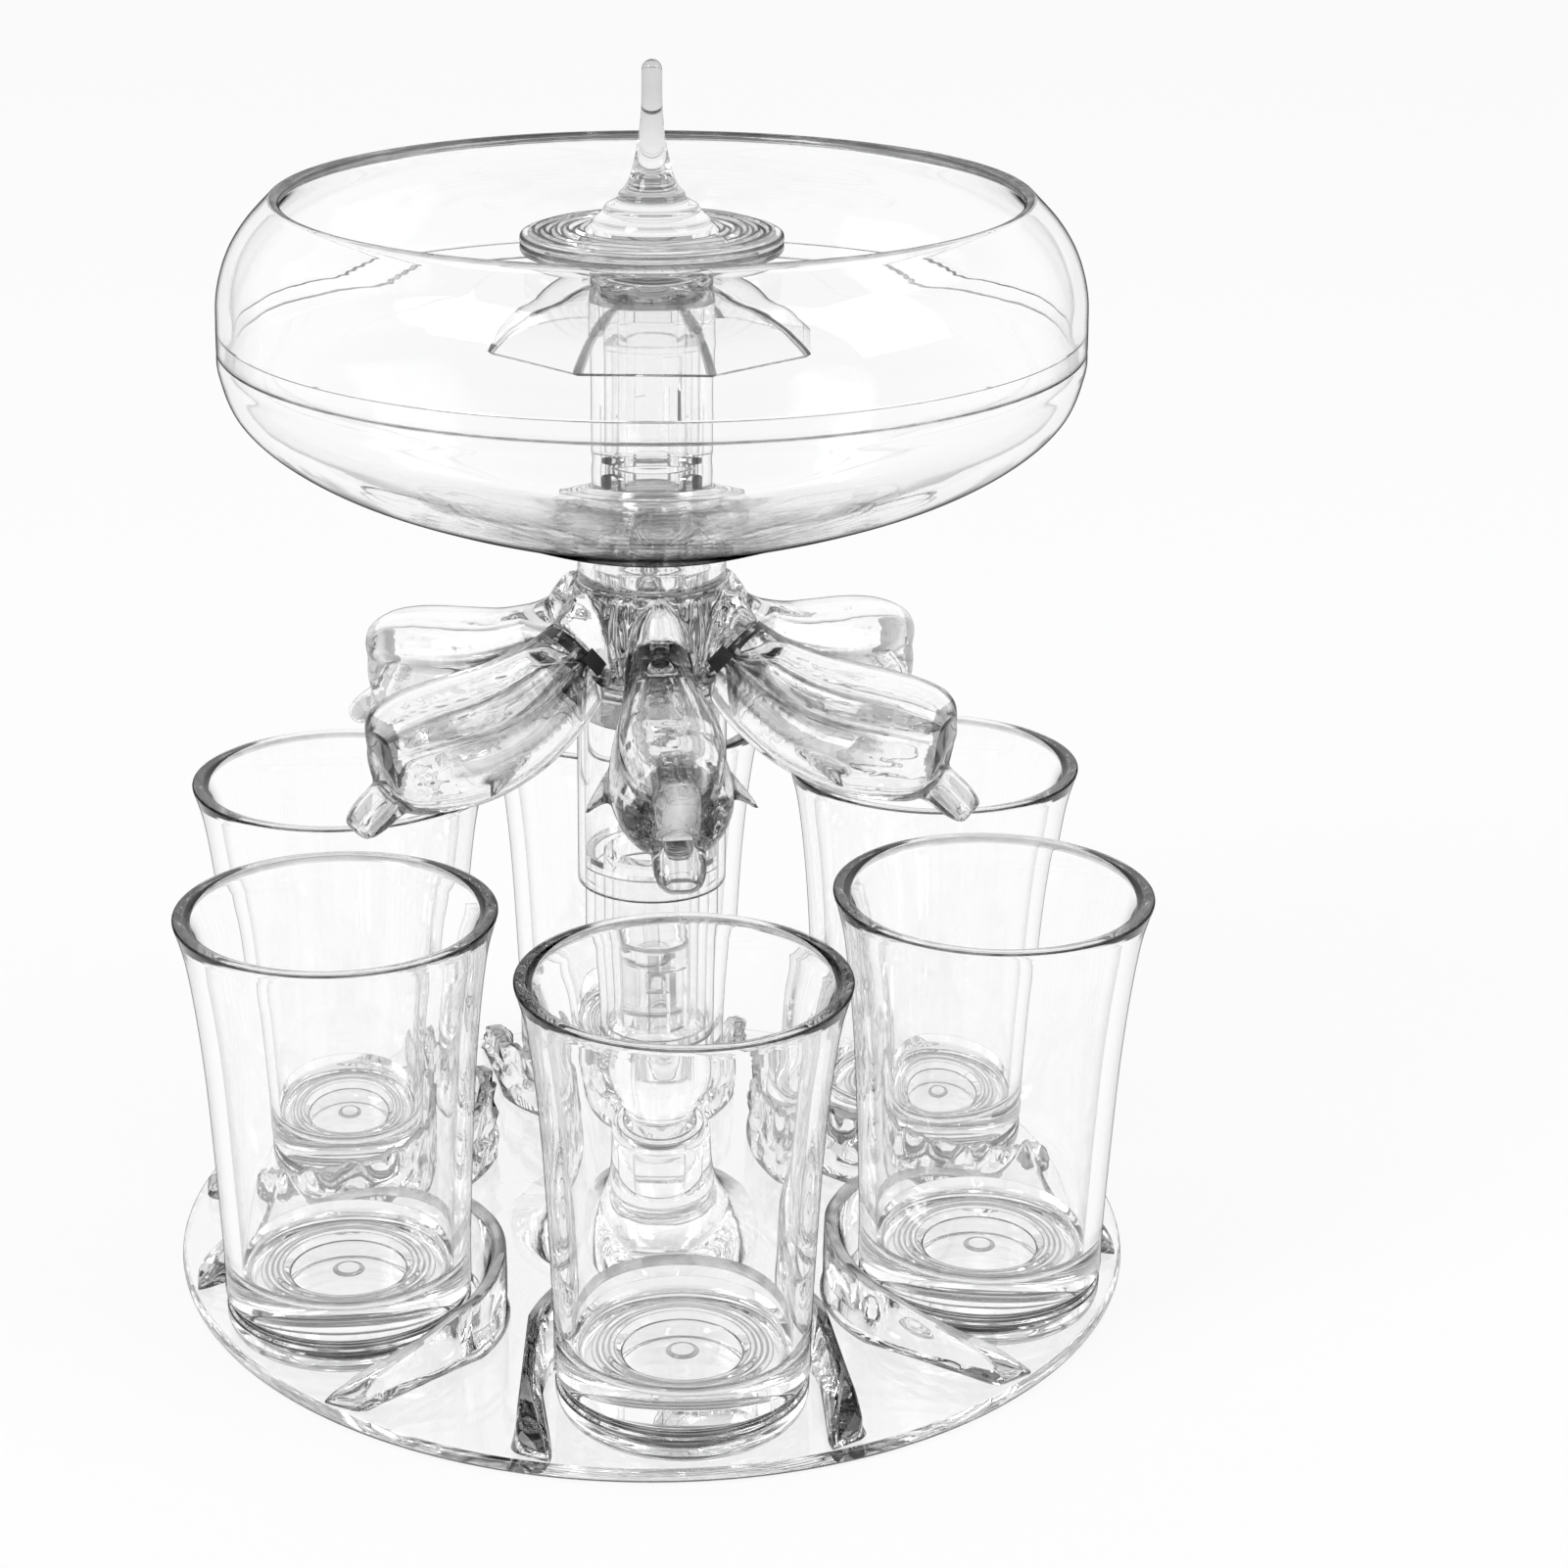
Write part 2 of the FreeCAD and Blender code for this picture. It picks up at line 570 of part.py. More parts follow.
def make_spout():
    """Hollow spout along +X: body, beak with its outlet, two side fins."""
    start = on_root_axis(SEAL_THICKNESS + REST_GAP)
    line = [(start[0], start[1], ROOT_HALF_H, ROOT_HALF_W)]
    line += spout_sections(SPOUT_BODY, BODY_HALF_H, BODY_HALF_W)
    angles = line_slopes(line)
    angles[0] = ROOT_SLOPE
    beak_line = spout_sections(SPOUT_BEAK, BEAK_HALF_H, BEAK_HALF_W)
    beak = lofted(beak_line, 0, [BEAK_SLOPE] * len(beak_line))
    body = lofted(line, 0, angles).fuse(beak)
    fin_r, fin_z, _, fin_w = line[3]
    fin_z -= FIN_BELOW
    for side in (1, -1):
        y0, y1 = side * (fin_w - FIN_BURY), side * (fin_w + FIN_SPAN)
        plan = Part.Face(Part.makePolygon([
            V(fin_r - FIN_ROOT, y0, 0), V(fin_r + FIN_ROOT, y0, 0),
            V(fin_r + FIN_TIP[1], y1, 0), V(fin_r + FIN_TIP[0], y1, 0),
            V(fin_r - FIN_ROOT, y0, 0)]))
        fin = plan.extrude(V(0, 0, FIN_T))
        fin.translate(V(0, 0, fin_z - FIN_T / 2))
        fin.rotate(V(fin_r, 0, fin_z), V(0, 1, 0), FIN_TILT)
        body = body.fuse(fin)
    hollow = lofted(line[1:-2], SPOUT_WALL, angles[1:-2])
    p = on_root_axis(-INLET_BEHIND)
    inlet = Part.makeCylinder(CHANNEL_R, INLET_BEHIND + INLET_DEPTH, V(p[0], 0, p[1]),
                              root_direction())
    b = math.radians(BEAK_SLOPE)
    aim = V(math.cos(b), 0, math.sin(b))
    q = V(beak_line[-1][0], 0, beak_line[-1][1]) + aim * OUTLET_AHEAD
    outlet = Part.makeCylinder(BEAK_BORE_R, OUTLET_AHEAD + OUTLET_DEPTH, q, aim * -1)
    return one_solid(body.cut(hollow).cut(inlet).cut(outlet).cut(skirt_room()))


def make_seal():
    """Flat oval seal between the hub and one spout, along +X."""
    near = on_root_axis(REST_GAP / 2)
    oval = section(near[0], near[1], ROOT_SLOPE, ROOT_HALF_H - 0.25, ROOT_HALF_W - 0.25)
    seal = Part.Face(oval).extrude(root_direction() * (SEAL_THICKNESS - REST_GAP / 2))
    p = on_root_axis(-SEAL_THICKNESS)
    hole = Part.makeCylinder(CHANNEL_R + FREE_GAP, 3 * SEAL_THICKNESS, V(p[0], 0, p[1]),
                             root_direction())
    return one_solid(seal.cut(hole).cut(skirt_room()))


def make_hub():
    """Whole hub: chamber, rooted outlets, neck for the bowl, spigot below."""
    tube_r = OUTER_TUBE_R
    spigot_r = OUTER_TUBE_BORE - SLIP_GAP
    seat = HUB_BOTTOM + REST_GAP
    floor = ROOT_Z - CHAMBER_BELOW_ROOT
    neck_top = FLANGE_TOP - 0.2
    outline = [rz(0, seat - HUB_SPIGOT), rz(spigot_r - 0.5, seat - HUB_SPIGOT),
               rz(spigot_r, seat - HUB_SPIGOT + 0.5), rz(spigot_r, seat),
               rz(SKIRT_R, seat), rz(SKIRT_R, SKIRT_TOP),
               rz(waist_radius(SKIRT_TOP), SKIRT_TOP),
               rz(waist_radius(ROOT_Z - 3.0), ROOT_Z - 3.0),
               rz(tube_r - 1.2, ROOT_Z + 0.8),
               rz(tube_r - 0.4, ROOT_Z + 5.8), rz(tube_r + 0.6, HUB_SHOULDER - 1.2),
               rz(tube_r + 0.6, HUB_SHOULDER), rz(HUB_NECK_R, HUB_SHOULDER),
               rz(HUB_NECK_R, neck_top), rz(NECK_BORE_R, neck_top),
               rz(NECK_BORE_R, SEAT_TOP), rz(CHAMBER_R, SEAT_LOW),
               rz(CHAMBER_R, floor), rz(0, floor), rz(0, seat - HUB_SPIGOT)]
    hub = turned(line_edges(outline))
    wires = []
    for back, shrink_h, shrink_w in ((5.2, 1.6, 1.8), (2.2, 0.4, 0.6), (0, 0, 0)):
        p = on_root_axis(-back)
        wires.append(section(p[0], p[1], ROOT_SLOPE, ROOT_HALF_H - shrink_h,
                             ROOT_HALF_W - shrink_w))
    boss = Part.makeLoft(wires, True, False).cut(tube(CHAMBER_R, 0, floor, SEAT_LOW))
    start = on_root_axis(-ROOT_R)
    channel = Part.makeCylinder(CHANNEL_R, ROOT_R + 4, V(start[0], 0, start[1]),
                                root_direction())
    # The channel starts inside the chamber, so it never crosses the hub.
    channel = channel.common(Part.makeBox(40, 20, 80, V(CHAMBER_R - 2.5, -10, ROOT_Z - 40)))
    for index in range(STATIONS):
        hub = hub.fuse(about_z(boss, station_angle(index)))
    for index in range(STATIONS):
        hub = hub.cut(about_z(channel, station_angle(index)))
    flute = Part.makeCylinder(FLUTE_R, FLUTE_LENGTH, V(tube_r + 0.75, 0, seat + 3.6))
    for index in range(STATIONS):
        for side in (-8.5, 8.5):
            angle = station_angle(index) + 180.0 / STATIONS + side
            hub = hub.cut(about_z(flute, angle))
    return one_solid(hub)


def split_at_shoulder(hub):
    """The hub's body and its neck, two simple shapes that meet at the shoulder."""
    above = tube(2 * HUB_NECK_R, 0, HUB_SHOULDER, FLANGE_TOP + REST_GAP)
    body = hub.cut(above)
    above.translate(V(0, 0, REST_GAP))
    return one_solid(body), one_solid(hub.common(above))


# ---------------------------------------------------------------------------
# Bowl
# ---------------------------------------------------------------------------
def make_dish():
    """Lower half of the bowl, with a tongue that the rim ring laps over."""
    line = blend_points((BOWL_HOLE_R, BOWL_FLOOR), (BOWL_R, SEAM_LOW), DISH_LINE)
    inner = inset_line(line, BOWL_WALL)
    inner[0] = (BOWL_HOLE_R, BOWL_FLOOR + BOWL_WALL)
    inner[-1] = (BOWL_R - BOWL_WALL, SEAM_LOW)
    outer = [rz(r, z) for r, z in line]
    inner = [rz(r, z) for r, z in inner]
    tongue = BOWL_R - BOWL_WALL / 2 - SEAM_GAP
    tongue_top = SEAM_HIGH - SEAM_GAP
    lip = [outer[-1], rz(tongue, SEAM_LOW), rz(tongue, tongue_top),
           rz(BOWL_R - BOWL_WALL, tongue_top), inner[-1]]
    edges = [spline_edge(outer), spline_edge(inner)]
    return turned(edges + line_edges(lip) + line_edges([inner[0], outer[0]]))


def make_rim_ring():
    """Upper half of the bowl: curves inwards to the open, rounded rim."""
    line = blend_points((BOWL_R, SEAM_HIGH), (RIM_R, RIM_TOP), RING_LINE)
    inner = inset_line(line, BOWL_WALL)
    inner[0] = (BOWL_R - BOWL_WALL, SEAM_HIGH)
    low = SEAM_LOW + SEAM_GAP
    outer = [rz(BOWL_R, low)] + [rz(r, z) for r, z in line]
    inner = [rz(r, z) for r, z in inner]
    groove = BOWL_R - BOWL_WALL / 2 + SEAM_GAP
    lip = [outer[0], rz(groove, low), rz(groove, SEAM_HIGH), inner[0]]
    crown = (outer[-1] + inner[-1]) * 0.5 + V(-0.34, 0, 0.36) * BOWL_WALL
    rim = Part.Arc(outer[-1], crown, inner[-1]).toShape()
    edges = [spline_edge(outer), rim, spline_edge(inner)]
    return turned(edges + line_edges(lip))


def make_flange():
    """Domed, rippled clamp flange round the hub's neck on the bowl's floor."""
    bore = HUB_NECK_R + SLIP_GAP
    low, top = FLANGE_LOW, FLANGE_TOP
    wide, rise = FLANGE_R - bore, FLANGE_HEIGHT
    points = [rz(bore, low), rz(FLANGE_R - wide * 0.26, low + rise * 0.12),
              rz(FLANGE_R, low + rise * 0.32), rz(FLANGE_R - wide * 0.1, low + rise * 0.49),
              rz(FLANGE_R - wide * 0.27, low + rise * 0.51),
              rz(FLANGE_R - wide * 0.37, low + rise * 0.69),
              rz(FLANGE_R - wide * 0.53, low + rise * 0.64),
              rz(FLANGE_R - wide * 0.62, low + rise * 0.84),
              rz(FLANGE_R - wide * 0.78, top - rise * 0.11),
              rz(FLANGE_R - wide * 0.86, top), rz(bore, top), rz(bore, low)]
    return turned(line_edges(points))


# ---------------------------------------------------------------------------
# Standpipe, guide, valve
# ---------------------------------------------------------------------------
def make_standpipe():
    """Pipe that stands on the flange, with ports at its foot and a ledge."""
    z0 = FLANGE_TOP + REST_GAP
    ledge = FLANGE_TOP + LEDGE_RISE
    inner = STANDPIPE_BORE - LEDGE_DEPTH
    points = [rz(STANDPIPE_R, z0), rz(STANDPIPE_R, STANDPIPE_TOP),
              rz(STANDPIPE_BORE, STANDPIPE_TOP), rz(STANDPIPE_BORE, ledge),
              rz(inner, ledge), rz(inner, ledge - 1.4),
              rz(STANDPIPE_BORE, ledge - 1.4 - LEDGE_DEPTH), rz(STANDPIPE_BORE, z0),
              rz(STANDPIPE_R, z0)]
    pipe = turned(line_edges(points))
    for index in range(PORTS):
        port = Part.makeBox(STANDPIPE_R + 4, PORT_WIDTH, PORT_HEIGHT + 1,
                            V(0, -PORT_WIDTH / 2, z0 - 1))
        pipe = pipe.cut(about_z(port, 45 + index * 360.0 / PORTS))
    return one_solid(pipe)


def make_guide():
    """Guide pipe inside the standpipe; its top collar steers the rod."""
    z0 = FLANGE_TOP + LEDGE_RISE + REST_GAP
    top = STANDPIPE_TOP - GUIDE_DROP
    outer = STANDPIPE_BORE - SLIP_GAP
    bore = outer - GUIDE_WALL
    collar = ROD_R + SLIP_GAP
    under = top - GUIDE_COLLAR
    points = [rz(outer, z0), rz(outer, top), rz(collar, top), rz(collar, under),
              rz(bore, under), rz(bore, z0), rz(outer, z0)]
    guide = turned(line_edges(points))
    for side in (0, 180):
        slot = Part.makeBox(outer + 2, GUIDE_SLOT_W, GUIDE_SLOT_H,
                            V(0, -GUIDE_SLOT_W / 2, under - 0.4 - GUIDE_SLOT_H))
        guide = guide.cut(about_z(slot, STATION_PHASE + 20 + side))
    return one_solid(guide)


PLUG_LOW = SEAT_LOW + 0.35
PLUG_TOP = PLUG_LOW + PLUG_HEIGHT
PLUG_R = CHAMBER_R - 0.1 + PLUG_LIP


def make_plug():
    """Tapered plug that closes the chamber, grooved for its seal ring."""
    r_low = CHAMBER_R - 0.1
    groove = PLUG_R - 1.5 * SEAL_RING_R
    g0 = PLUG_LOW + 1.15
    g1 = g0 + 2 * SEAL_RING_R
    points = [rz(0, PLUG_LOW - PLUG_NOSE), rz(r_low - 1.2, PLUG_LOW - PLUG_NOSE),
              rz(r_low - 0.1, PLUG_LOW - 0.2), rz(PLUG_R - 0.15, PLUG_LOW + 1.0),
              rz(groove, g0), rz(groove, g1), rz(PLUG_R, g1 + 0.15),
              rz(PLUG_R, PLUG_TOP - 0.8), rz(ROD_R, PLUG_TOP), rz(0, PLUG_TOP),
              rz(0, PLUG_LOW - PLUG_NOSE)]
    return turned(line_edges(points))


def make_valve_seal():
    """Seal ring in the plug's groove."""
    section_r = SEAL_RING_R - 0.02
    ring_r = PLUG_R - 1.5 * SEAL_RING_R + SEAL_RING_R
    return Part.makeTorus(ring_r, section_r, V(0, 0, PLUG_LOW + 1.15 + SEAL_RING_R))


def make_rod():
    """Hollow rod from the plug up to the knob's boss."""
    return tube(ROD_R, ROD_R - ROD_WALL, PLUG_TOP + REST_GAP, UMBRELLA_HUB_TOP)


# ---------------------------------------------------------------------------
# Umbrella and knob
# ---------------------------------------------------------------------------
def make_umbrella():
    """Flat-bottomed panels that meet in arched ribs, with a hub ring."""
    half = math.pi / PANELS
    flat = math.cos(half)
    top_z = UMBRELLA_HUB_TOP - 0.5
    bore = ROD_R + SLIP_GAP
    ribs = blend_points((ROD_R - 0.8, top_z), (UMBRELLA_R, top_z - UMBRELLA_DROP),
                        RIB_LINE)
    line = [(r * flat, z) for r, z in ribs]
    inner = inset_line(line, -SHEET)
    top = spline_edge([rz(d, z) for d, z in line])
    low = spline_edge([rz(d, z) for d, z in inner])
    ends = line_edges([rz(*line[0]), rz(*inner[0])])
    ends += line_edges([rz(*line[-1]), rz(*inner[-1])])
    strip = face_of([top, low] + ends).extrude(V(0, 4 * UMBRELLA_R, 0))
    strip.translate(V(0, -2 * UMBRELLA_R, 0))
    far = 2 * UMBRELLA_R
    wedge = Part.Face(Part.makePolygon([
        V(0, 0, 0), V(far, -far * math.tan(half), 0),
        V(far, far * math.tan(half), 0), V(0, 0, 0)])).extrude(V(0, 0, 60))
    wedge.translate(V(0, 0, top_z - 50))
    panel = strip.common(wedge)
    dome = about_z(panel, UMBRELLA_PHASE)
    for index in range(1, PANELS):
        dome = dome.fuse(about_z(panel, UMBRELLA_PHASE + index * 360.0 / PANELS))
    z0, z1 = STANDPIPE_TOP + REST_GAP, UMBRELLA_HUB_TOP
    ring = turned(line_edges([
        rz(bore, z0), rz(UMBRELLA_HUB_R - 0.8, z0), rz(UMBRELLA_HUB_R, z0 + 0.6),
        rz(UMBRELLA_HUB_R, z1 - 0.4), rz(UMBRELLA_HUB_R - 0.6, z1),
        rz(bore, z1), rz(bore, z0)]))
    dome = dome.cut(tube(bore, 0, top_z - 50, top_z + 10))
    return one_solid(dome.fuse(ring))


def make_knob():
    """Knob shaped as a splash: rippled disc, cone, drop-shaped spike."""
    z_boss = UMBRELLA_HUB_TOP + REST_GAP
    disc_low = z_boss + KNOB_NECK_H
    disc_high = disc_low + DISC_T
    edge_r = DISC_R - 1.2
    mid = (disc_low + disc_high) / 2
    under = [rz(0, z_boss), rz(KNOB_NECK_R, z_boss), rz(KNOB_NECK_R, z_boss + 0.6),
             rz(KNOB_BOSS_R, disc_low - KNOB_BOSS_H), rz(KNOB_BOSS_R, disc_low),
             rz(edge_r, disc_low)]
    edge = [Part.Arc(rz(edge_r, disc_low), rz(DISC_R, disc_low + 0.6),
                     rz(DISC_R - 0.35, mid)).toShape(),
            Part.Arc(rz(DISC_R - 0.35, mid), rz(DISC_R, disc_high - 0.6),
                     rz(edge_r, disc_high)).toShape()]
    step = (edge_r - CONE_R) / RIPPLES
    ripples = []
    for index in range(RIPPLES):
        r0, r1 = edge_r - index * step, edge_r - (index + 1) * step
        z0, z1 = disc_high + 0.1 * index, disc_high + 0.1 * (index + 1)
        ripples.append(Part.Arc(rz(r0, z0), rz((r0 + r1) / 2, z0 + RIPPLE_H),
                                rz(r1, z1)).toShape())
    start = disc_high + 0.1 * RIPPLES
    tip_z = disc_high + SPIKE_HEIGHT
    cone = [rz(CONE_R, start)]
    cone += [rz(CONE_R * b, disc_high + SPIKE_HEIGHT * a) for a, b in KNOB_CONE]
    cone.append(rz(TIP_R, tip_z - TIP_R))
    eighth = TIP_R * math.sqrt(0.5)
    tip = Part.Arc(cone[-1], rz(eighth, tip_z - TIP_R + eighth), rz(0, tip_z)).toShape()
    axis = line_edges([rz(0, tip_z), rz(0, z_boss)])
    edges = line_edges(under) + edge + ripples + [spline_edge(cone), tip] + axis
    return turned(edges)


# ---------------------------------------------------------------------------
# Build
# ---------------------------------------------------------------------------
save("tray_disc", make_disc())
save("pedestal", make_pedestal())
for station in range(STATIONS):
    holder = make_holder(station)
    save("cup_holder_%d" % (station + 1), about_z(holder, station_angle(station)))

save("column_foot", make_foot())
save("lower_tube", tube(LOWER_TUBE_R, LOWER_TUBE_BORE, FOOT_TOP + REST_GAP,
                        LOWER_TUBE_TOP))
save("lock_sleeve", make_sleeve())
save("outer_tube", tube(OUTER_TUBE_R, OUTER_TUBE_BORE, OUTER_TUBE_LOW, HUB_BOTTOM))
hub_body, hub_neck = split_at_shoulder(make_hub())
save("hub_body", hub_body)
save("hub_neck", hub_neck)
save("bowl_collar", tube(HUB_NECK_R + SLIP_GAP + COLLAR_WALL, HUB_NECK_R + SLIP_GAP,
                         HUB_SHOULDER + REST_GAP, BOWL_FLOOR - HOLE_GAP))

spout = make_spout()
seal = make_seal()
for station in range(STATIONS):
    save("spout_%d" % (station + 1), about_z(spout, station_angle(station)))
    save("spout_seal_%d" % (station + 1), about_z(seal, station_angle(station)))

save("bowl_dish", make_dish())
save("bowl_rim_ring", make_rim_ring())
save("bowl_flange", make_flange())
save("standpipe", make_standpipe())
save("rod_guide", make_guide())
save("valve_rod", make_rod())
save("valve_plug", make_plug())
save("valve_seal", make_valve_seal())
save("umbrella", make_umbrella())
save("splash_knob", make_knob())

cup = make_cup()
for station in range(STATIONS):
    placed = cup.copy()
    placed.translate(V(STATION_RADIUS, 0, REST_GAP))
    save("cup_%d" % (station + 1), about_z(placed, station_angle(station)))
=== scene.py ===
"""Clear party dispenser: a bowl, a press valve and six leaping spouts over shot cups."""
import logging
import math
from contextlib import contextmanager
from dataclasses import dataclass, field
from enum import Enum
from functools import cached_property
from typing import Callable, Iterator, Sequence

import bmesh
import bpy
from mathutils import Matrix, Vector


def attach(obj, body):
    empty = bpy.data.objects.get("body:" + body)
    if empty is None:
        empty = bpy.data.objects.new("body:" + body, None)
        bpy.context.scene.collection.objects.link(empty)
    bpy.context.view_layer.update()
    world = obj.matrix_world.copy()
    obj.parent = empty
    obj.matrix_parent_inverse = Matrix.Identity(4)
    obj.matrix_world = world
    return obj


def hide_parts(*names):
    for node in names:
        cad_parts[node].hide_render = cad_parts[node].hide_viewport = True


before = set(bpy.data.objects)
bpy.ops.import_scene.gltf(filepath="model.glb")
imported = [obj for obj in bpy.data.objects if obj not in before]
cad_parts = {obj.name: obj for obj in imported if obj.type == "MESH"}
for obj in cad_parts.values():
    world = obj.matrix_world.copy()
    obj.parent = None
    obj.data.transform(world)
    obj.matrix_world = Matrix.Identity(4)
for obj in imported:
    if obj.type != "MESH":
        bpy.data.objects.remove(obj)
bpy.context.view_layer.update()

LOG = logging.getLogger("dispenser")
Point = tuple[float, float]
Color = tuple[float, float, float, float]
Inputs = dict[str | int, object]
Marker = Callable[[Vector, Vector], float | None]
Wave = Callable[[float, float, float], Point]
MM = 0.001
LIFT = 2.4                   # mm, the tray's thickness: heights count from its top face
STATIONS = 6
STATION_PHASE = -85.45       # degrees, azimuth of the front station
STATION_RADIUS = 58.7        # mm, from the column's axis to a cup's axis
EDGE_SHADE = "painted_edge_shade"      # face attribute: painted shade, 1 where the skin turns tightly
ON_AXIS = 1e-6               # mm, a radius below this lies on the axis
WELD = 1e-5                  # mm, points closer than this are one
CORNER_SHARE = 0.48          # of a side, the most that a rounded corner may take
CREASE = 38.0                # degrees, sharper edges stay edges in the shading
CLOSEST = 1e-3               # mm, least distance that counts between two faces' middles


class Slot(Enum):
    """Material slots of the part's record."""

    ACRYLIC = "clear_acrylic"
    CUP = "clear_cup"
    SILICONE = "dark_silicone"


class Body(Enum):
    """Moving bodies of the frame, apart from the cups."""

    BASE = "base"
    UPPER = "upper"
    VALVE = "valve"


# ---------------------------------------------------------------------------
# Lines and meshes, all in millimetres until a piece is placed
# ---------------------------------------------------------------------------
def smooth_line(points: Sequence[Sequence[float]], steps: int = 6) -> list[tuple[float, ...]]:
    """Run a Catmull-Rom curve through the points.

    Args:
        points: Points of any dimension, in order.
        steps: Sub-steps between two points.

    Returns:
        The finer line, which keeps both ends.
    """
    rows = [tuple(p) for p in points]
    ends = [tuple(2 * a - b for a, b in zip(rows[0], rows[1]))]
    ends.append(tuple(2 * a - b for a, b in zip(rows[-1], rows[-2])))
    padded = [ends[0]] + rows + [ends[1]]
    out: list[tuple[float, ...]] = []
    for i in range(1, len(padded) - 2):
        p0, p1, p2, p3 = padded[i - 1:i + 3]
        for k in range(steps):
            t = k / steps
            out.append(tuple(
                0.5 * (2 * b + (c - a) * t + (2 * a - 5 * b + 4 * c - d) * t * t
                       + (3 * b - a - 3 * c + d) * t ** 3)
                for a, b, c, d in zip(p0, p1, p2, p3)))
    out.append(rows[-1])
    return out


def rounded(corners: Sequence[Sequence[float]], steps: int = 5) -> list[Point]:
    """Round the corners of an open line of (r, z) or (r, z, radius) entries.

    Args:
        corners: Corners in order; a third number is the corner's radius.
        steps: Points on each rounded corner.

    Returns:
        The finer line.
    """
    out: list[Point] = []
    for i, corner in enumerate(corners):
        here = Vector(corner[:2])
        if len(corner) < 3 or i in (0, len(corners) - 1):
            out.append((here.x, here.y))
            continue
        back = Vector(corners[i - 1][:2]) - here
        ahead = Vector(corners[i + 1][:2]) - here
        reach = min(corner[2], CORNER_SHARE * back.length, CORNER_SHARE * ahead.length)
        start, end = here + back.normalized() * reach, here + ahead.normalized() * reach
        for k in range(steps + 1):
            t = k / steps
            p = start * (1 - t) ** 2 + here * (2 * t * (1 - t)) + end * t * t
            out.append((p.x, p.y))
    return out


def closed_line(corners: Sequence[Sequence[float]]) -> list[Point]:
    """Round the corners of a closed outline, from the middle of its last side on."""
    middle = tuple((a + b) / 2 for a, b in zip(corners[0][:2], corners[-1][:2]))
    return rounded([middle, *corners, middle])[:-1]


def tube_line(r_in: float, r_out: float, z0: float, z1: float, corner: float) -> list[Point]:
    """Outline of a plain tube with eased edges."""
    return closed_line([(r_in, z0, corner), (r_out, z0, corner), (r_out, z1, corner),
                        (r_in, z1, corner)])


def turn(count: int) -> list[float]:
    """Angles of evenly spaced points on a full turn."""
    return [2 * math.pi * k / count for k in range(count)]


def inset_line(points: Sequence[Sequence[float]], distance: float) -> list[Point]:
    """Move a line sideways, to the left of its direction.

    Args:
        points: The line's points as (r, z).
        distance: How far, in mm.

    Returns:
        The moved line.
    """
    out: list[Point] = []
    for i, point in enumerate(points):
        a, b = points[max(i - 1, 0)], points[min(i + 1, len(points) - 1)]
        dr, dz = b[0] - a[0], b[1] - a[1]
        length = math.hypot(dr, dz) or 1.0
        out.append((point[0] - dz / length * distance, point[1] + dr / length * distance))
    return out


def shares_line(start: Point, end: Point, shares: Sequence[Point]) -> list[Point]:
    """Turn shares of the way between two corners into points."""
    return [(start[0] + (end[0] - start[0]) * a, start[1] + (end[1] - start[1]) * b)
            for a, b in shares]


@contextmanager
def edited(mesh: bpy.types.Mesh) -> Iterator[bmesh.types.BMesh]:
    """Open a mesh for editing, and write it back afterwards."""
    work = bmesh.new()
    work.from_mesh(mesh)
    yield work
    work.to_mesh(mesh)
    work.free()


def new_mesh(name: str, verts: Sequence[Vector], faces: Sequence[Sequence[int]],
             ) -> bpy.types.Mesh:
    """Make a mesh whose faces all point outwards.

    Args:
        name: Name of the mesh.
        verts: Its vertices, in mm.
        faces: Vertex numbers of each face.

    Returns:
        The mesh.
    """
    mesh = bpy.data.meshes.new(name)
    mesh.from_pydata([tuple(v) for v in verts], [], [tuple(f) for f in faces])
    with edited(mesh) as work:
        bmesh.ops.remove_doubles(work, verts=work.verts, dist=WELD)
        bmesh.ops.recalc_face_normals(work, faces=work.faces)
    return mesh


def band(low: Sequence[int], high: Sequence[int]) -> list[list[int]]:
    """Faces between two rings of vertex numbers, either of which may be one point."""
    faces = []
    for k in range(len(low)):
        n = (k + 1) % len(low)
        face = list(dict.fromkeys((low[k], low[n], high[n], high[k])))
        if len(face) > 2:
            faces.append(face)
    return faces


def lathe(name: str, profile: Sequence[Point], segments: int = 144,
          wave: Wave | None = None) -> bpy.types.Mesh:
    """Turn a closed outline, or one that starts and ends on the axis.

    Args:
        name: Name of the mesh.
        profile: Outline as (r, z).
        segments: Steps round the axis.
        wave: Optional change of a point's r and z, from its r, z and angle.

    Returns:
        The closed mesh.
    """
    verts: list[Vector] = []
    rows: list[list[int]] = []
    for r, z in profile:
        if r < ON_AXIS:
            rows.append([len(verts)] * segments)
            verts.append(Vector((0, 0, z)))
            continue
        row = []
        for angle in turn(segments):
            dr, dz = wave(r, z, angle) if wave else (0.0, 0.0)
            row.append(len(verts))
            verts.append(Vector(((r + dr) * math.cos(angle), (r + dr) * math.sin(angle),
                                 z + dz)))
        rows.append(row)
    on_axis = profile[0][0] < ON_AXIS and profile[-1][0] < ON_AXIS
    pairs = list(zip(rows, rows[1:])) + ([] if on_axis else [(rows[-1], rows[0])])
    return new_mesh(name, verts, [face for a, b in pairs for face in band(a, b)])


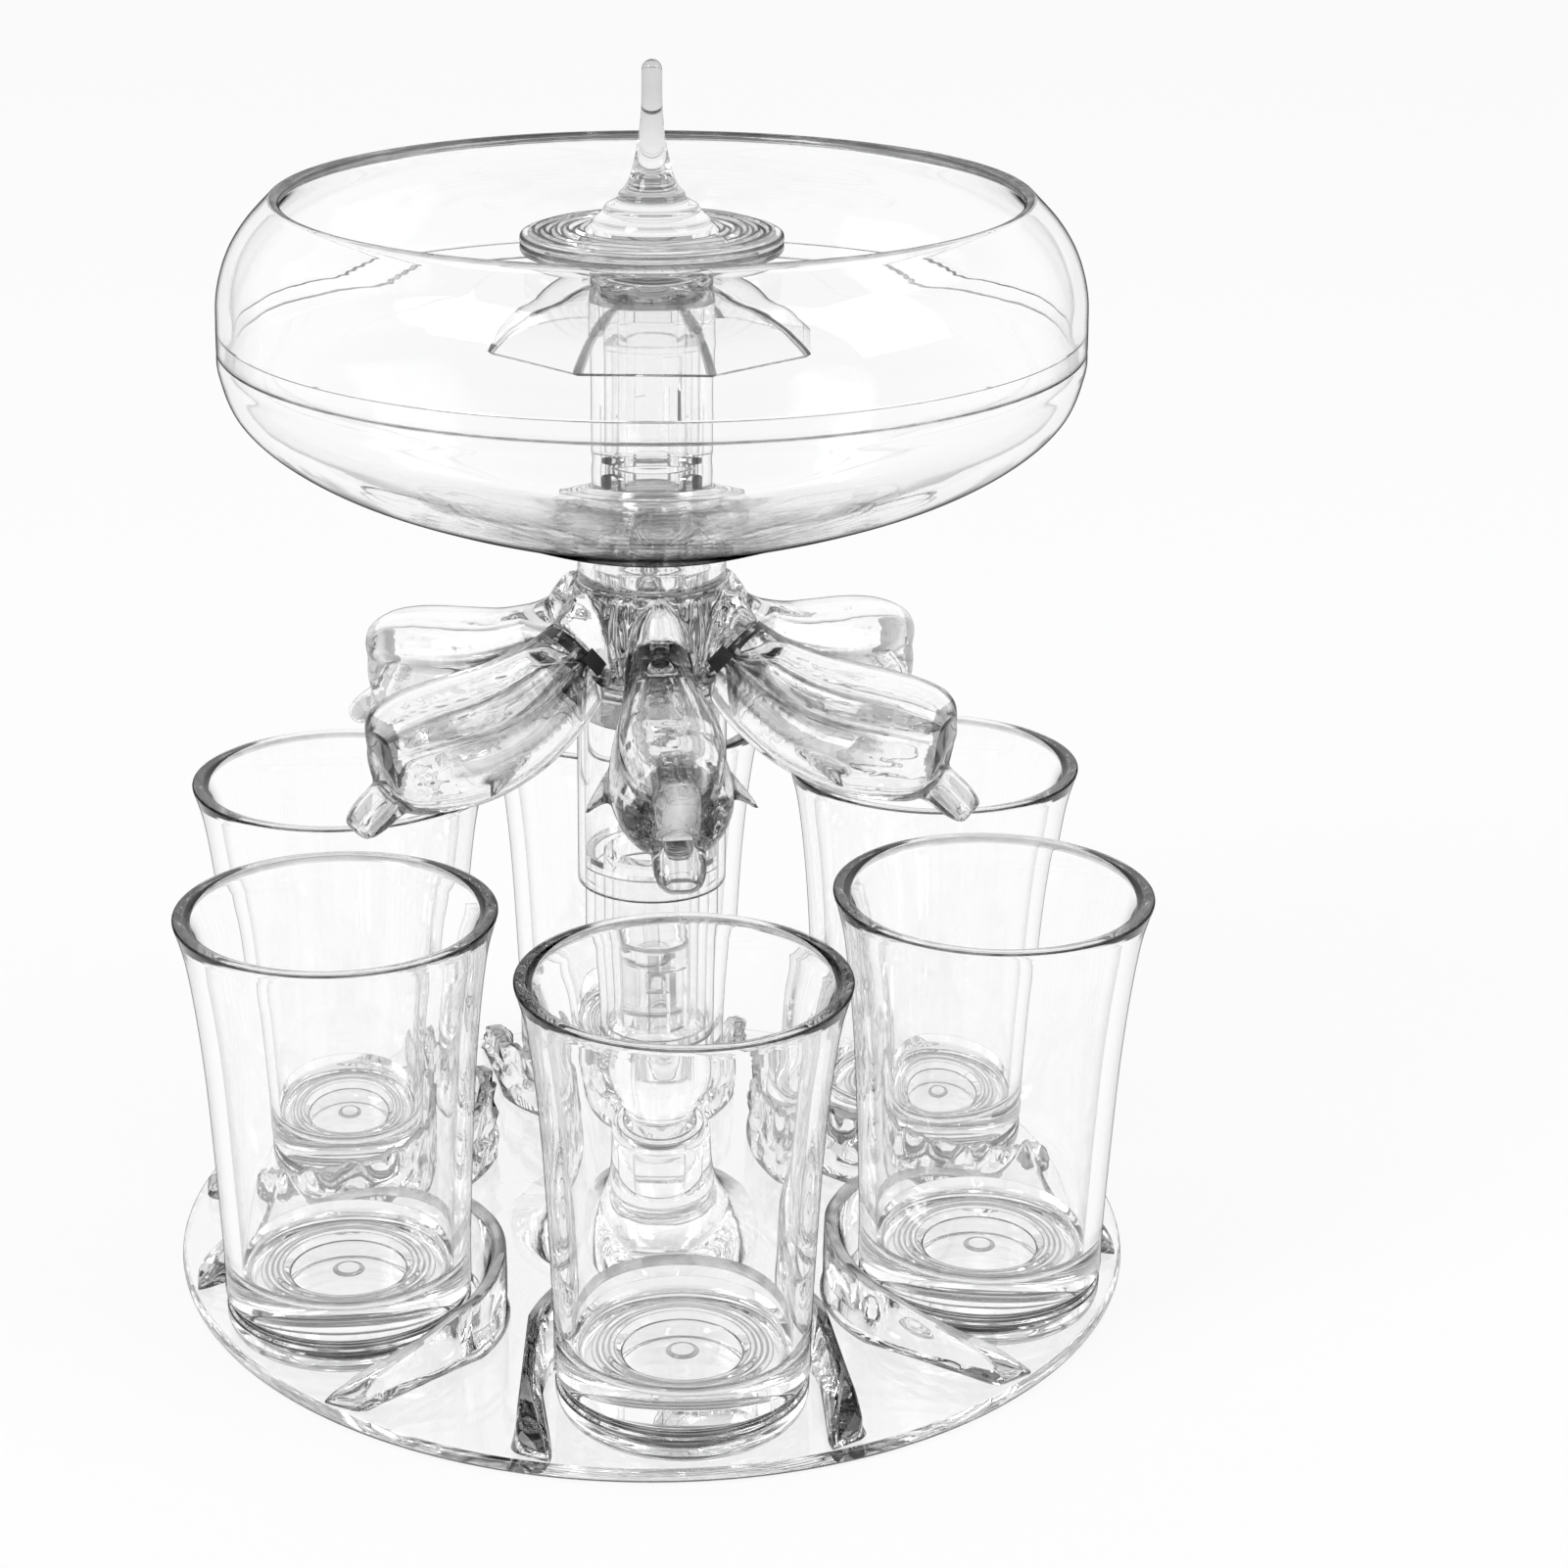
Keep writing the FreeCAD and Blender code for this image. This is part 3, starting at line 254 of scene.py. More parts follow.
def loft(name: str, rings: Sequence[Sequence[Vector]], hoop: bool = False,
         ) -> bpy.types.Mesh:
    """Skin closed rings of equal length.

    Args:
        name: Name of the mesh.
        rings: The rings, in order.
        hoop: Join the last ring to the first, in place of a cap on either end.

    Returns:
        The closed mesh.
    """
    count = len(rings[0])
    verts = [v for ring in rings for v in ring]
    faces: list[list[int]] = []
    for i in range(len(rings) if hoop else len(rings) - 1):
        j = (i + 1) % len(rings)
        faces += band(range(i * count, (i + 1) * count), range(j * count, (j + 1) * count))
    ends = () if hoop else (0, (len(rings) - 1) * count)
    for start in ends:
        middle = sum((verts[start + k] for k in range(count)), Vector()) / count
        verts.append(middle)
        hub = len(verts) - 1
        faces += [[start + k, start + (k + 1) % count, hub] for k in range(count)]
    return new_mesh(name, verts, faces)


def joined(name: str, meshes: Sequence[bpy.types.Mesh]) -> bpy.types.Mesh:
    """Put several meshes into one, and drop the originals."""
    result = bpy.data.meshes.new(name)
    with edited(result) as work:
        for mesh in meshes:
            work.from_mesh(mesh)
            bpy.data.meshes.remove(mesh)
    return result


def turned(mesh: bpy.types.Mesh, degrees: float, offset: Vector | None = None,
           ) -> bpy.types.Mesh:
    """Move a mesh, turn it about the column's axis and return it."""
    mesh.transform(Matrix.Rotation(math.radians(degrees), 4, "Z")
                   @ Matrix.Translation(offset or Vector()))
    return mesh


def new_object(name: str, data: bpy.types.ID) -> bpy.types.Object:
    """Put a mesh, lamp or camera into the scene."""
    thing = bpy.data.objects.new(name, data)
    bpy.context.scene.collection.objects.link(thing)
    return thing


def evaluated(mesh: bpy.types.Mesh, setup: Callable[[bpy.types.Object], None],
              ) -> bpy.types.Mesh:
    """Run modifiers on a mesh and return the finished one.

    Args:
        mesh: The mesh, which is dropped.
        setup: Adds the modifiers to the object that holds it.

    Returns:
        The new mesh, under the old name.
    """
    name = mesh.name
    holder = new_object(name + "_work", mesh)
    setup(holder)
    bpy.context.view_layer.update()
    graph = bpy.context.evaluated_depsgraph_get()
    result = bpy.data.meshes.new_from_object(holder.evaluated_get(graph))
    bpy.data.objects.remove(holder)
    bpy.data.meshes.remove(mesh)
    result.name = name
    return result


def fused(mesh: bpy.types.Mesh, voxel: float, passes: int) -> bpy.types.Mesh:
    """Melt crossing shapes into one skin, as one moulding has.

    Args:
        mesh: Closed shapes that cross each other.
        voxel: Size of the grid, in mm.
        passes: Rounds of smoothing.

    Returns:
        The single skin.
    """
    def setup(holder: bpy.types.Object) -> None:
        """Add the remesh and the smoothing."""
        remesh = holder.modifiers.new("melt", "REMESH")
        remesh.mode = "VOXEL"
        remesh.voxel_size = voxel
        soften = holder.modifiers.new("soften", "SMOOTH")
        soften.factor = 0.5
        soften.iterations = passes

    return evaluated(mesh, setup)


def carved(mesh: bpy.types.Mesh, tool: bpy.types.Mesh, operation: str = "DIFFERENCE",
           ) -> bpy.types.Mesh:
    """Cut one closed mesh from another, or unite them.

    Args:
        mesh: The mesh to work on, which is dropped.
        tool: The other mesh, which is dropped too.
        operation: The kind of boolean.

    Returns:
        The result.
    """
    cutter = new_object("cutter", tool)

    def setup(holder: bpy.types.Object) -> None:
        """Add the boolean."""
        cut = holder.modifiers.new("cut", "BOOLEAN")
        cut.solver = "EXACT"
        cut.operation = operation
        cut.object = cutter

    result = evaluated(mesh, setup)
    bpy.data.objects.remove(cutter)
    bpy.data.meshes.remove(tool)
    return result


def crisp(mesh: bpy.types.Mesh) -> None:
    """Shade a mesh smooth, but keep its creases."""
    with edited(mesh) as work:
        for face in work.faces:
            face.smooth = True
        for edge in work.edges:
            bend = edge.calc_face_angle(0.0) if len(edge.link_faces) == 2 else 0.0
            edge.smooth = bend < math.radians(CREASE)


def paint_turn_shade(mesh: bpy.types.Mesh, soft: float = 0.3, tight: float = 1.3,
               lines: Marker | None = None, passes: int = 0) -> bpy.types.Mesh:
    """Paint shade, face by face, where the skin turns tightly, as painted dark edges on clear
    plastic.

    Args:
        mesh: The mesh, in mm.
        soft: Bend in 1/mm where the painted shade sets in.
        tight: Bend where it is full.
        lines: Optional painted shade of a face from its middle and normal, None
        to leave it to the bend.
        passes: Rounds of evening out between neighbours.

    Returns:
        The same mesh.
    """
    # Painted shade: a face attribute that darkens the colour where the skin turns tightly.
    with edited(mesh) as work:
        layer = work.faces.layers.float.new(EDGE_SHADE)
        work.faces.index_update()
        middles = [face.calc_center_median() for face in work.faces]
        bends: list[list[float]] = [[] for _ in middles]
        pairs = []
        for edge in work.edges:
            if len(edge.link_faces) != 2:
                continue
            a, b = (face.index for face in edge.link_faces)
            apart = max((middles[a] - middles[b]).length, CLOSEST)
            bend = edge.calc_face_angle(0.0) / apart
            bends[a].append(bend)
            bends[b].append(bend)
            pairs.append((a, b))
        marks = []
        for bend in bends:
            second = sorted(bend)[-2] if len(bend) > 1 else 0.0
            marks.append(min(1.0, max(0.0, (second - soft) / (tight - soft))))
        for _ in range(passes):
            total, count = list(marks), [1] * len(marks)
            for a, b in pairs:
                total[a] += marks[b]
                total[b] += marks[a]
                count[a] += 1
                count[b] += 1
            marks = [t / n for t, n in zip(total, count)]
        for face, mark in zip(work.faces, marks):
            drawn = lines(middles[face.index], face.normal) if lines else None
            face[layer] = mark if drawn is None else drawn
    return mesh


def place(name: str, mesh: bpy.types.Mesh, material: bpy.types.Material, body: str,
          replaces: Sequence[str], weighted: bool = True) -> bpy.types.Object:
    """Bring a piece from millimetres into the frame and hang it on its body.

    Args:
        name: Piece name.
        mesh: Its mesh, in mm from the tray's top face.
        material: Its material.
        body: Name of the body that it rides on.
        replaces: Frame nodes that it stands for.
        weighted: Let large faces lead the shading, as on turned pieces.

    Returns:
        The placed object.
    """
    # pieces without their own marks get painted shade on their tightly turning edges
    if EDGE_SHADE not in mesh.attributes:
        paint_turn_shade(mesh)
    mesh.transform(Matrix.Scale(MM, 4) @ Matrix.Translation(Vector((0, 0, LIFT))))
    crisp(mesh)
    mesh.name = name
    mesh.materials.clear()
    mesh.materials.append(material)
    piece = new_object(name, mesh)
    if weighted:
        normals = piece.modifiers.new("weighted", "WEIGHTED_NORMAL")
        normals.keep_sharp = True
    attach(piece, body)
    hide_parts(*replaces)
    LOG.info("%-18s %6d faces on %s", name, len(mesh.polygons), body)
    return piece


def station_angle(index: int) -> float:
    """Azimuth of a station in degrees; 0 is the front one."""
    return STATION_PHASE + index * 360.0 / STATIONS


# ---------------------------------------------------------------------------
# Finishes, with painted shade on edges
# ---------------------------------------------------------------------------
def grey(tone: float) -> Color:
    """Neutral, opaque colour."""
    return (tone, tone, tone, 1.0)


class NodeSketch:
    """Small helper that adds and joins shader nodes."""

    def __init__(self, tree: bpy.types.NodeTree) -> None:
        """Keep the tree that is being built."""
        self.tree = tree

    def add(self, kind: str, inputs: Inputs | None = None, **settings: object,
            ) -> bpy.types.Node:
        """Add a node.

        Args:
            kind: Full name of the node type.
            inputs: By name or number, each input's value or the output that feeds it.
            **settings: Properties of the node to set.

        Returns:
            The node.
        """
        node = self.tree.nodes.new(kind)
        for key, value in settings.items():
            setattr(node, key, value)
        for key, value in (inputs or {}).items():
            if isinstance(value, bpy.types.NodeSocket):
                self.tree.links.new(value, node.inputs[key])
            else:
                node.inputs[key].default_value = value
        return node

    def own_place(self) -> bpy.types.NodeSocket:
        """Place on the piece itself, in its own coordinates."""
        return self.add("ShaderNodeTexCoord").outputs["Object"]

    def math(self, operation: str, first: object, second: object, clamp: bool = False,
             ) -> bpy.types.NodeSocket:
        """Result of a sum on two values or outputs."""
        return self.add("ShaderNodeMath", {0: first, 1: second}, operation=operation,
                        use_clamp=clamp).outputs[0]

    def ramp(self, source: bpy.types.NodeSocket, stops: Sequence[tuple[float, Color]],
             kind: str = "LINEAR") -> bpy.types.NodeSocket:
        """Colour that runs from the first stop, a place and a colour, to the second."""
        node = self.add("ShaderNodeValToRGB", {"Fac": source})
        node.color_ramp.interpolation = kind
        for element, (place_on_ramp, color) in zip(list(node.color_ramp.elements), stops):
            element.position, element.color = place_on_ramp, color
        return node.outputs["Color"]

    def close(self, result: bpy.types.NodeSocket) -> bpy.types.NodeTree:
        """Join a value group's result to its output and hand the group over."""
        self.add("NodeGroupOutput", {0: result})
        return self.tree


def clean_sketch(owner: bpy.types.Material | bpy.types.World) -> NodeSketch:
    """Empty the node tree of a material or world and start a sketch in it."""
    owner.use_nodes = True
    owner.node_tree.nodes.clear()
    return NodeSketch(owner.node_tree)


def value_group(name: str, inputs: dict[str, float], output: str,
                ) -> tuple[NodeSketch, Sequence[bpy.types.NodeSocket]]:
    """Start a shader node group with number inputs and one number output.

    Args:
        name: Name of the group.
        inputs: Names and defaults of the inputs.
        output: Name of the output.

    Returns:
        The group's sketch, and what comes in, by name.
    """
    group = bpy.data.node_groups.new(name, "ShaderNodeTree")
    for label, default in inputs.items():
        socket = group.interface.new_socket(label, in_out="INPUT",
                                            socket_type="NodeSocketFloat")
        socket.default_value = default
    group.interface.new_socket(output, in_out="OUTPUT", socket_type="NodeSocketFloat")
    sketch = NodeSketch(group)
    return sketch, sketch.add("NodeGroupInput").outputs


def flow_marks_group() -> bpy.types.NodeTree:
    """Height of the long, soft waves that a mould leaves in clear plastic."""
    sketch, given = value_group("flow_marks", {"Scale": 60.0, "Stretch": 0.35}, "Height")
    squeeze = sketch.add("ShaderNodeCombineXYZ", {0: 1.0, 1: 1.0, 2: given["Stretch"]})
    scaled = sketch.add("ShaderNodeVectorMath",
                        {0: sketch.own_place(), 1: squeeze.outputs[0]}, operation="MULTIPLY")
    noise = sketch.add("ShaderNodeTexNoise",
                       {"Vector": scaled.outputs[0], "Scale": given["Scale"],
                        "Detail": 2.0, "Roughness": 0.4})
    return sketch.close(noise.outputs["Fac"])


def handling_group() -> bpy.types.NodeTree:
    """Roughness of wiped plastic: polished, with faint hazy smears."""
    sketch, given = value_group("handling_haze",
                                {"Scale": 90.0, "Polished": 0.0, "Hazy": 0.03}, "Roughness")
    noise = sketch.add("ShaderNodeTexNoise", {"Vector": sketch.own_place(),
                                              "Scale": given["Scale"], "Detail": 4.0})
    spread = sketch.add("ShaderNodeMapRange",
                        {"Value": noise.outputs["Fac"], "From Min": 0.52, "From Max": 0.72,
                         "To Min": given["Polished"], "To Max": given["Hazy"]})
    return sketch.close(spread.outputs["Result"])


def edge_shade_group() -> bpy.types.NodeTree:
    """Mask of the painted shade on tightly turning edges, broken up along their length."""
    sketch, given = value_group("edge_shade_mask",
                                {"Amount": 1.0, "Scale": 220.0, "Breakup": 0.35}, "Mask")
    mark = sketch.add("ShaderNodeAttribute", attribute_name=EDGE_SHADE)
    noise = sketch.add("ShaderNodeTexNoise", {"Vector": sketch.own_place(),
                                              "Scale": given["Scale"], "Detail": 1.5})
    spread = sketch.add("ShaderNodeMapRange",
                        {"Value": noise.outputs["Fac"], "From Min": 0.4, "From Max": 0.6,
                         "To Min": sketch.math("SUBTRACT", 1.0, given["Breakup"])})
    scaled = sketch.math("MULTIPLY", mark.outputs["Fac"], given["Amount"])
    return sketch.close(sketch.math("MULTIPLY", scaled, spread.outputs["Result"], True))


@dataclass
class Effects:
    """Shader node groups that the finishes share."""

    flow: bpy.types.NodeTree = field(default_factory=flow_marks_group)
    haze: bpy.types.NodeTree = field(default_factory=handling_group)
    # mask of the painted shade on tightly turning edges
    edges: bpy.types.NodeTree = field(default_factory=edge_shade_group)


@dataclass(frozen=True)
class ClearPlastic:
    """Clear moulded plastic with painted shade on faces seen at a grazing angle and on tightly
    turning edges.
    """

    name: str
    ior: float = 1.49
    face_tone: float = 0.985     # how much light a face lets through, seen square
    grazing_shade_tone: float = 0.16      # painted shade tone, seen along a face
    grazing_shade_start: float = 0.62     # where the painted shade sets in, 0 square, 1 along
    steep_shade_start: float = 0.8      # where the painted shade of steep faces, laid on as a dark coat, sets in
    steep_shade_full: float = 0.97
    steep_shade_tone: float = 0.55      # tone of that painted shade, seen square
    line_shade_tone: float = 0.3       # tone of the painted shade on tightly turning edges
    line_amount: float = 1.0
    line_breakup: float = 0.35
    flow_scale: float = 60.0
    flow_stretch: float = 0.35
    flow_depth: float = 0.05     # mm
    haze: float = 0.02

    def material(self, effects: Effects) -> bpy.types.Material:
        """Build the material.

        Args:
            effects: The shared node groups.

        Returns:
            The finished material.
        """
        material = bpy.data.materials.new(self.name)
        sketch = clean_sketch(material)
        # Painted shade: the colour darkens where a face is seen at a grazing angle.
        facing = sketch.add("ShaderNodeLayerWeight", {"Blend": 0.5}).outputs["Facing"]
        tone = sketch.ramp(facing, [(self.grazing_shade_start, grey(self.face_tone)),
                                    (1.0, grey(self.grazing_shade_tone))], "EASE")
        # Painted shade on tightly turning edges, from the edge attribute.
        edges = sketch.add("ShaderNodeGroup", {"Amount": self.line_amount,
                                               "Breakup": self.line_breakup},
                           node_tree=effects.edges).outputs["Mask"]
        darker = sketch.add("ShaderNodeMix", {"Factor": edges, "A": tone,
                                              "B": grey(self.line_shade_tone)},
                            data_type="RGBA", blend_type="MULTIPLY")
        # Painted shade on steep faces, laid on below as a dark coat.
        steep = sketch.add("ShaderNodeMapRange", {"Value": facing,
                                                  "From Min": self.steep_shade_start,
                                                  "From Max": self.steep_shade_full},
                           interpolation_type="SMOOTHSTEP")
        flow = sketch.add("ShaderNodeGroup", {"Scale": self.flow_scale,
                                              "Stretch": self.flow_stretch},
                          node_tree=effects.flow)
        bump = sketch.add("ShaderNodeBump", {"Strength": 1.0,
                                             "Distance": self.flow_depth * MM,
                                             "Height": flow.outputs["Height"]})
        haze = sketch.add("ShaderNodeGroup", {"Hazy": self.haze}, node_tree=effects.haze)
        surface = sketch.add("ShaderNodeBsdfPrincipled", {
            "Base Color": darker.outputs["Result"],
            "Metallic": 0.0,
            "Roughness": haze.outputs["Roughness"],
            "IOR": self.ior,
            "Normal": bump.outputs["Normal"],
            "Transmission Weight": 1.0,
            # the coat carries the painted shade of steep faces and tight edges
            "Coat Weight": sketch.math("MAXIMUM", steep.outputs["Result"], edges),
            "Coat Roughness": 0.0,
            "Coat IOR": 1.0,
            "Coat Tint": grey(self.steep_shade_tone)})
        sketch.add("ShaderNodeOutputMaterial", {"Surface": surface.outputs["BSDF"]})
        return material


@dataclass(frozen=True)
class SealRubber:
    """Dark silicone with a matt, faintly grained skin."""

    name: str
    tone: float = 0.028
    light_share: float = 1.8     # how much paler the light grains are
    grain_scale: float = 900.0
    grain_depth: float = 0.04    # mm
    polished: float = 0.42       # roughness between the smears
    hazy: float = 0.6            # and on them

    def material(self, effects: Effects) -> bpy.types.Material:
        """Build the material.

        Args:
            effects: The shared node groups.

        Returns:
            The finished material.
        """
        material = bpy.data.materials.new(self.name)
        sketch = clean_sketch(material)
        grain = sketch.add("ShaderNodeTexNoise", {"Scale": self.grain_scale}).outputs["Fac"]
        tone = sketch.ramp(grain, [(0.0, grey(self.tone)),
                                   (1.0, grey(self.tone * self.light_share))])
        bump = sketch.add("ShaderNodeBump", {"Distance": self.grain_depth * MM,
                                             "Height": grain})
        haze = sketch.add("ShaderNodeGroup", {"Polished": self.polished,
                                              "Hazy": self.hazy}, node_tree=effects.haze)
        surface = sketch.add("ShaderNodeBsdfPrincipled", {
            "Base Color": tone,
            "Roughness": haze.outputs["Roughness"],
            "Normal": bump.outputs["Normal"],
            "Specular IOR Level": 0.4})
        sketch.add("ShaderNodeOutputMaterial", {"Surface": surface.outputs["BSDF"]})
        return material


# ---------------------------------------------------------------------------
# Cups
# ---------------------------------------------------------------------------
@dataclass
class CupSet:
    """Six shot cups with a heavy, stepped foot and a flared wall."""

    material: bpy.types.Material
    height: float = 70.3
    rim_r: float = 25.0
    base_r: float = 19.55
    wall: float = 2.75
    floor: float = 10.0
    step: float = 6.3
    rest: float = 0.05
    ripples: int = 2
    ripple: float = 0.22         # height of the floor's ripples
    flare: tuple[Point, ...] = ((0.0, 0.0), (0.10, 0.035), (0.28, 0.12), (0.49, 0.235),
                                (0.65, 0.365), (0.79, 0.525), (0.90, 0.70),
                                (0.972, 0.895), (1.0, 1.0))

    def profile(self) -> list[Point]:
        """Outline of a cup from the axis below to the axis above the floor."""
        base, band = self.base_r, self.floor + 2.5
        lip = self.height - 0.45
        wall = [(base + (self.rim_r - 0.1 - base) * b, band + (lip - band) * a)
                for a, b in self.flare]
        outside = smooth_line(wall, 5)
        inside = [(r - self.wall, z) for r, z in reversed(outside) if z < self.height - 1.6]
        foot_r = base - 1.3
        foot = rounded([(0, 0.9), (base / 2, 0.9, 0.3), (base / 2 + 0.8, 0, 0.4),
                        (foot_r, 0, 1.4), (base - 0.25, 1.9, 0.9),
                        (base - 0.15, self.step - 2.0, 0.35),
                        (base - 0.8, self.step - 1.4, 0.35),
                        (base - 0.8, self.step - 0.7, 0.35), (base, self.step, 0.45),
                        outside[0]])
        rim = rounded([outside[-3], (self.rim_r - 0.05, self.height - 0.05, 1.35),
                       (self.rim_r - self.wall + 0.1, self.height - 0.05, 1.3), inside[0]], 7)
        floor_r = base - self.wall - 2.9
        edge = rounded([inside[-1], (base - self.wall - 0.1, self.floor + 2.6, 0.6),
                        (floor_r + 1.9, self.floor + 0.7, 1.2), (floor_r, self.floor)])
        middle = rounded([(base / 2 + 0.5, self.floor), (base / 2 - 0.5, self.floor - 1.0, 0.25),
                          (2.4, self.floor - 1.0, 0.3), (1.9, self.floor - 0.75, 0.3),
                          (0, self.floor - 0.7)])
        rings = self.floor_rings(floor_r, base / 2 + 0.5)
        return foot[:-1] + outside[:-3] + rim[:-1] + inside + edge[1:] + rings + middle

    def floor_rings(self, start: float, end: float) -> list[Point]:
        """Concentric ripples that the mould leaves round the floor's sunk middle."""
        steps = 8 * self.ripples
        return [(start + (end - start) * k / steps,
                 self.floor + self.ripple / 2 * (1 - math.cos(2 * math.pi * k / 8)))
                for k in range(1, steps)]

    def build(self) -> None:
        """Build the cup once and set a copy on each station."""
        # painted shade on the cup's tightly turning edges
        cup = paint_turn_shade(lathe("cup", self.profile(), 160))
        offset = Vector((STATION_RADIUS, 0, self.rest))
        for index in range(STATIONS):
            number = index + 1
            place(f"shot_cup_{number}", turned(cup.copy(), station_angle(index), offset),
                  self.material, f"cup_{number}_body", [f"cup_{number}"])
        bpy.data.meshes.remove(cup)


# ---------------------------------------------------------------------------
# Base moulding: tray, holders and pedestal
# ---------------------------------------------------------------------------
@dataclass
class BaseMoulding:
    """Round tray with six wave-shaped cup holders and a flared pedestal."""

    material: bpy.types.Material
    radius: float = 79.1
    rim_gap: float = 0.05        # the drawn rim ends just inside the solid's
    inner_r: float = 21.4
    outer_r: float = 25.2
    kink: float = 114.0
    spread: float = 4.2
    mouth: float = 20.2
    height: float = 12.6
    tip_in: float = 16.4         # the arms' ends follow the tray's rim
    tip_out: float = 14.2
    tip_share: float = 0.3       # height left at the tips
    crest_share: float = 0.45    # the crest starts there, as a share of the wall
    sink: float = 1.2
    pedestal_top: float = 18.4
    pedestal_top_r: float = 11.1
    pedestal_foot_r: float = 24.5
    socket_r: float = 6.05
    socket_depth: float = 11.0
    fold: float = 0.12           # depth of the pedestal's folds
    plain: tuple[Point, ...] = ((-1.06, 1.0), (-0.85, 0.985), (-0.60, 0.89), (-0.32, 0.78),
                                (0.0, 0.59), (0.40, 0.42), (0.92, 0.28))
    peaked: tuple[Point, ...] = ((-1.06, 1.0), (-0.85, 0.985), (-0.60, 0.89),
                                 (-0.32, 0.79), (-0.185, 0.84), (-0.065, 1.12),
                                 (0.024, 1.397), (0.13, 1.06), (0.26, 0.68),
                                 (0.44, 0.44), (0.92, 0.28))
    flank: tuple[Point, ...] = ((0.0, 0.0), (0.185, 0.015), (0.375, 0.045),
                                (0.565, 0.134), (0.75, 0.321), (0.891, 0.619), (1.0, 1.0))
    peak_arms: tuple[int, ...] = (0, 1, 0, 0, 0, -1)
    splash: tuple[float, ...] = (0.0, 0.06, 1.0, 1.0, 1.0, 0.06)

    def crest(self, x: float, peaked: bool) -> float:
        """Height of an arm's top edge, x being the way out in mm."""
        table = self.peaked if peaked else self.plain
        line = smooth_line([(a * self.outer_r, b * self.height) for a, b in table], 4)
        for a, b in zip(line, line[1:]):
            if a[0] <= x <= b[0]:
                t = (x - a[0]) / (b[0] - a[0])
                return a[1] + (b[1] - a[1]) * t
        return line[0][1] if x < line[0][0] else line[-1][1]

    def wall_pairs(self, side: int) -> list[tuple[Vector, Vector]]:
        """Inner and outer foot points of one arm, from the rear to the tip.

        Args:
            side: 1 for the arm at +Y of a station on +X, -1 for the other.

        Returns:
            Pairs of points in the station's own plan, the cup's axis at 0.
        """
        kink = math.radians(self.kink)
        ox, oy = self.outer_r * math.cos(kink), self.outer_r * math.sin(kink)
        reach = self.radius - STATION_RADIUS
        pairs = []
        for k in range(23):
            a = math.radians(180 - (180 - self.kink) * k / 22)
            d = Vector((math.cos(a), side * math.sin(a)))
            pairs.append((d * self.inner_r, d * self.outer_r))
        for k in range(1, 9):
            a = kink + (math.radians(90) - kink) * k / 8
            x = ox * (1 - k / 8)
            y = oy + self.spread * (x - ox) / (reach - ox)
            pairs.append((Vector((math.cos(a), side * math.sin(a))) * self.inner_r,
                          Vector((x, side * y))))
        for k in range(1, 25):
            x_in, x_out = self.tip_in * k / 24, self.tip_out * k / 24
            y_in = self.inner_r + (self.mouth - self.inner_r) * x_in / (reach + 4)
            y_out = oy + self.spread * (x_out - ox) / (reach - ox)
            close = max(0.0, (k - 20) / 4) ** 2
            pairs.append((Vector((x_in, side * (y_in + 0.5 * close))),
                          Vector((x_out, side * (y_out - 1.3 * close)))))
        return pairs

    def holder(self, index: int) -> bpy.types.Mesh:
        """One holder on its station: a wall swept from tip to tip."""
        arms = []
        for side in (-1, 1):
            peaked = self.peak_arms[index] == side
            rows = [(a, b, self.crest((a.x + b.x) / 2, peaked)) for a, b in
                    self.wall_pairs(side)]
            arms.append(rows)
        path = list(reversed(arms[0])) + arms[1][1:]
        rough = self.splash[index]
        rings = []
        last = len(path) - 1
        for i, (inner, outer, top) in enumerate(path):
            end = min(i, last - i)
            fall = min(1.0, end / 12)
            top *= self.tip_share + (1 - self.tip_share) * fall * (2 - fall)
            across = outer - inner
            ripple = rough * 0.35 * math.sin(i * 0.9 + index) * min(1.0, end / 14)
            top += ripple + rough * 0.3 * fall * math.sin(i * 1.7 + 2 * index)
            lip = self.crest_share * (0.35 + 0.65 * fall)
            ease = min(0.55, 0.3 * top)
            shape = [(0.0, -self.sink), (0.0, 0.0), (0.0, top * 0.3),
                     (lip * 0.35, top * 0.6), (lip * 0.8, top - 1.6 * ease),
                     (lip, top - 0.8 * ease), (lip + 0.08, top - 0.25 * ease),
                     (0.5 + 0.5 * lip, top), (0.92, top - 0.2 * ease),
                     (0.99, top - ease), (1.0, top * 0.62), (1.0, top * 0.5),
                     (1.0, top * 0.38), (1.0, top * 0.26), (1.0, min(0.45, top * 0.2)),
                     (1.05, min(0.2, top * 0.1)), (1.12, 0.0), (1.12, -self.sink)]
            ring = []
            for w, z in shape:
                swirl = 0.0
                if w > 0.9 and z > 0.4:
                    swirl = rough * (0.13 * math.sin(i * 0.85 + z * 0.75 + index)
                                     + 0.1 * math.sin(i * 0.4 - z * 1.9 + 2 * index))
                p = inner + across * (w + swirl)
                ring.append(Vector((p.x + STATION_RADIUS, p.y, z)))
            rings.append(ring)
        return turned(loft(f"holder_{index + 1}", rings), station_angle(index))

    def pedestal(self) -> bpy.types.Mesh:
        """Flared pedestal with a socket, its flanks thrown up in folds."""
        top, top_r = self.pedestal_top, self.pedestal_top_r
        span = self.pedestal_foot_r - top_r
        flank = smooth_line([(top_r + span * b, top * (1 - a)) for a, b in self.flank], 5)
        low = top - self.socket_depth
        line = rounded([(0, low), (self.socket_r, low, 0.4), (self.socket_r, top, 0.5),
                        (7.6, top, 0.2), (7.9, top - 0.35, 0.2), (9.6, top - 0.35, 0.2),
                        (9.9, top, 0.2), (top_r, top, 0.6), flank[2]])
        line += flank[3:]
        line += [(self.pedestal_foot_r, -self.sink), (0, -self.sink)]
        front = math.radians(STATION_PHASE)

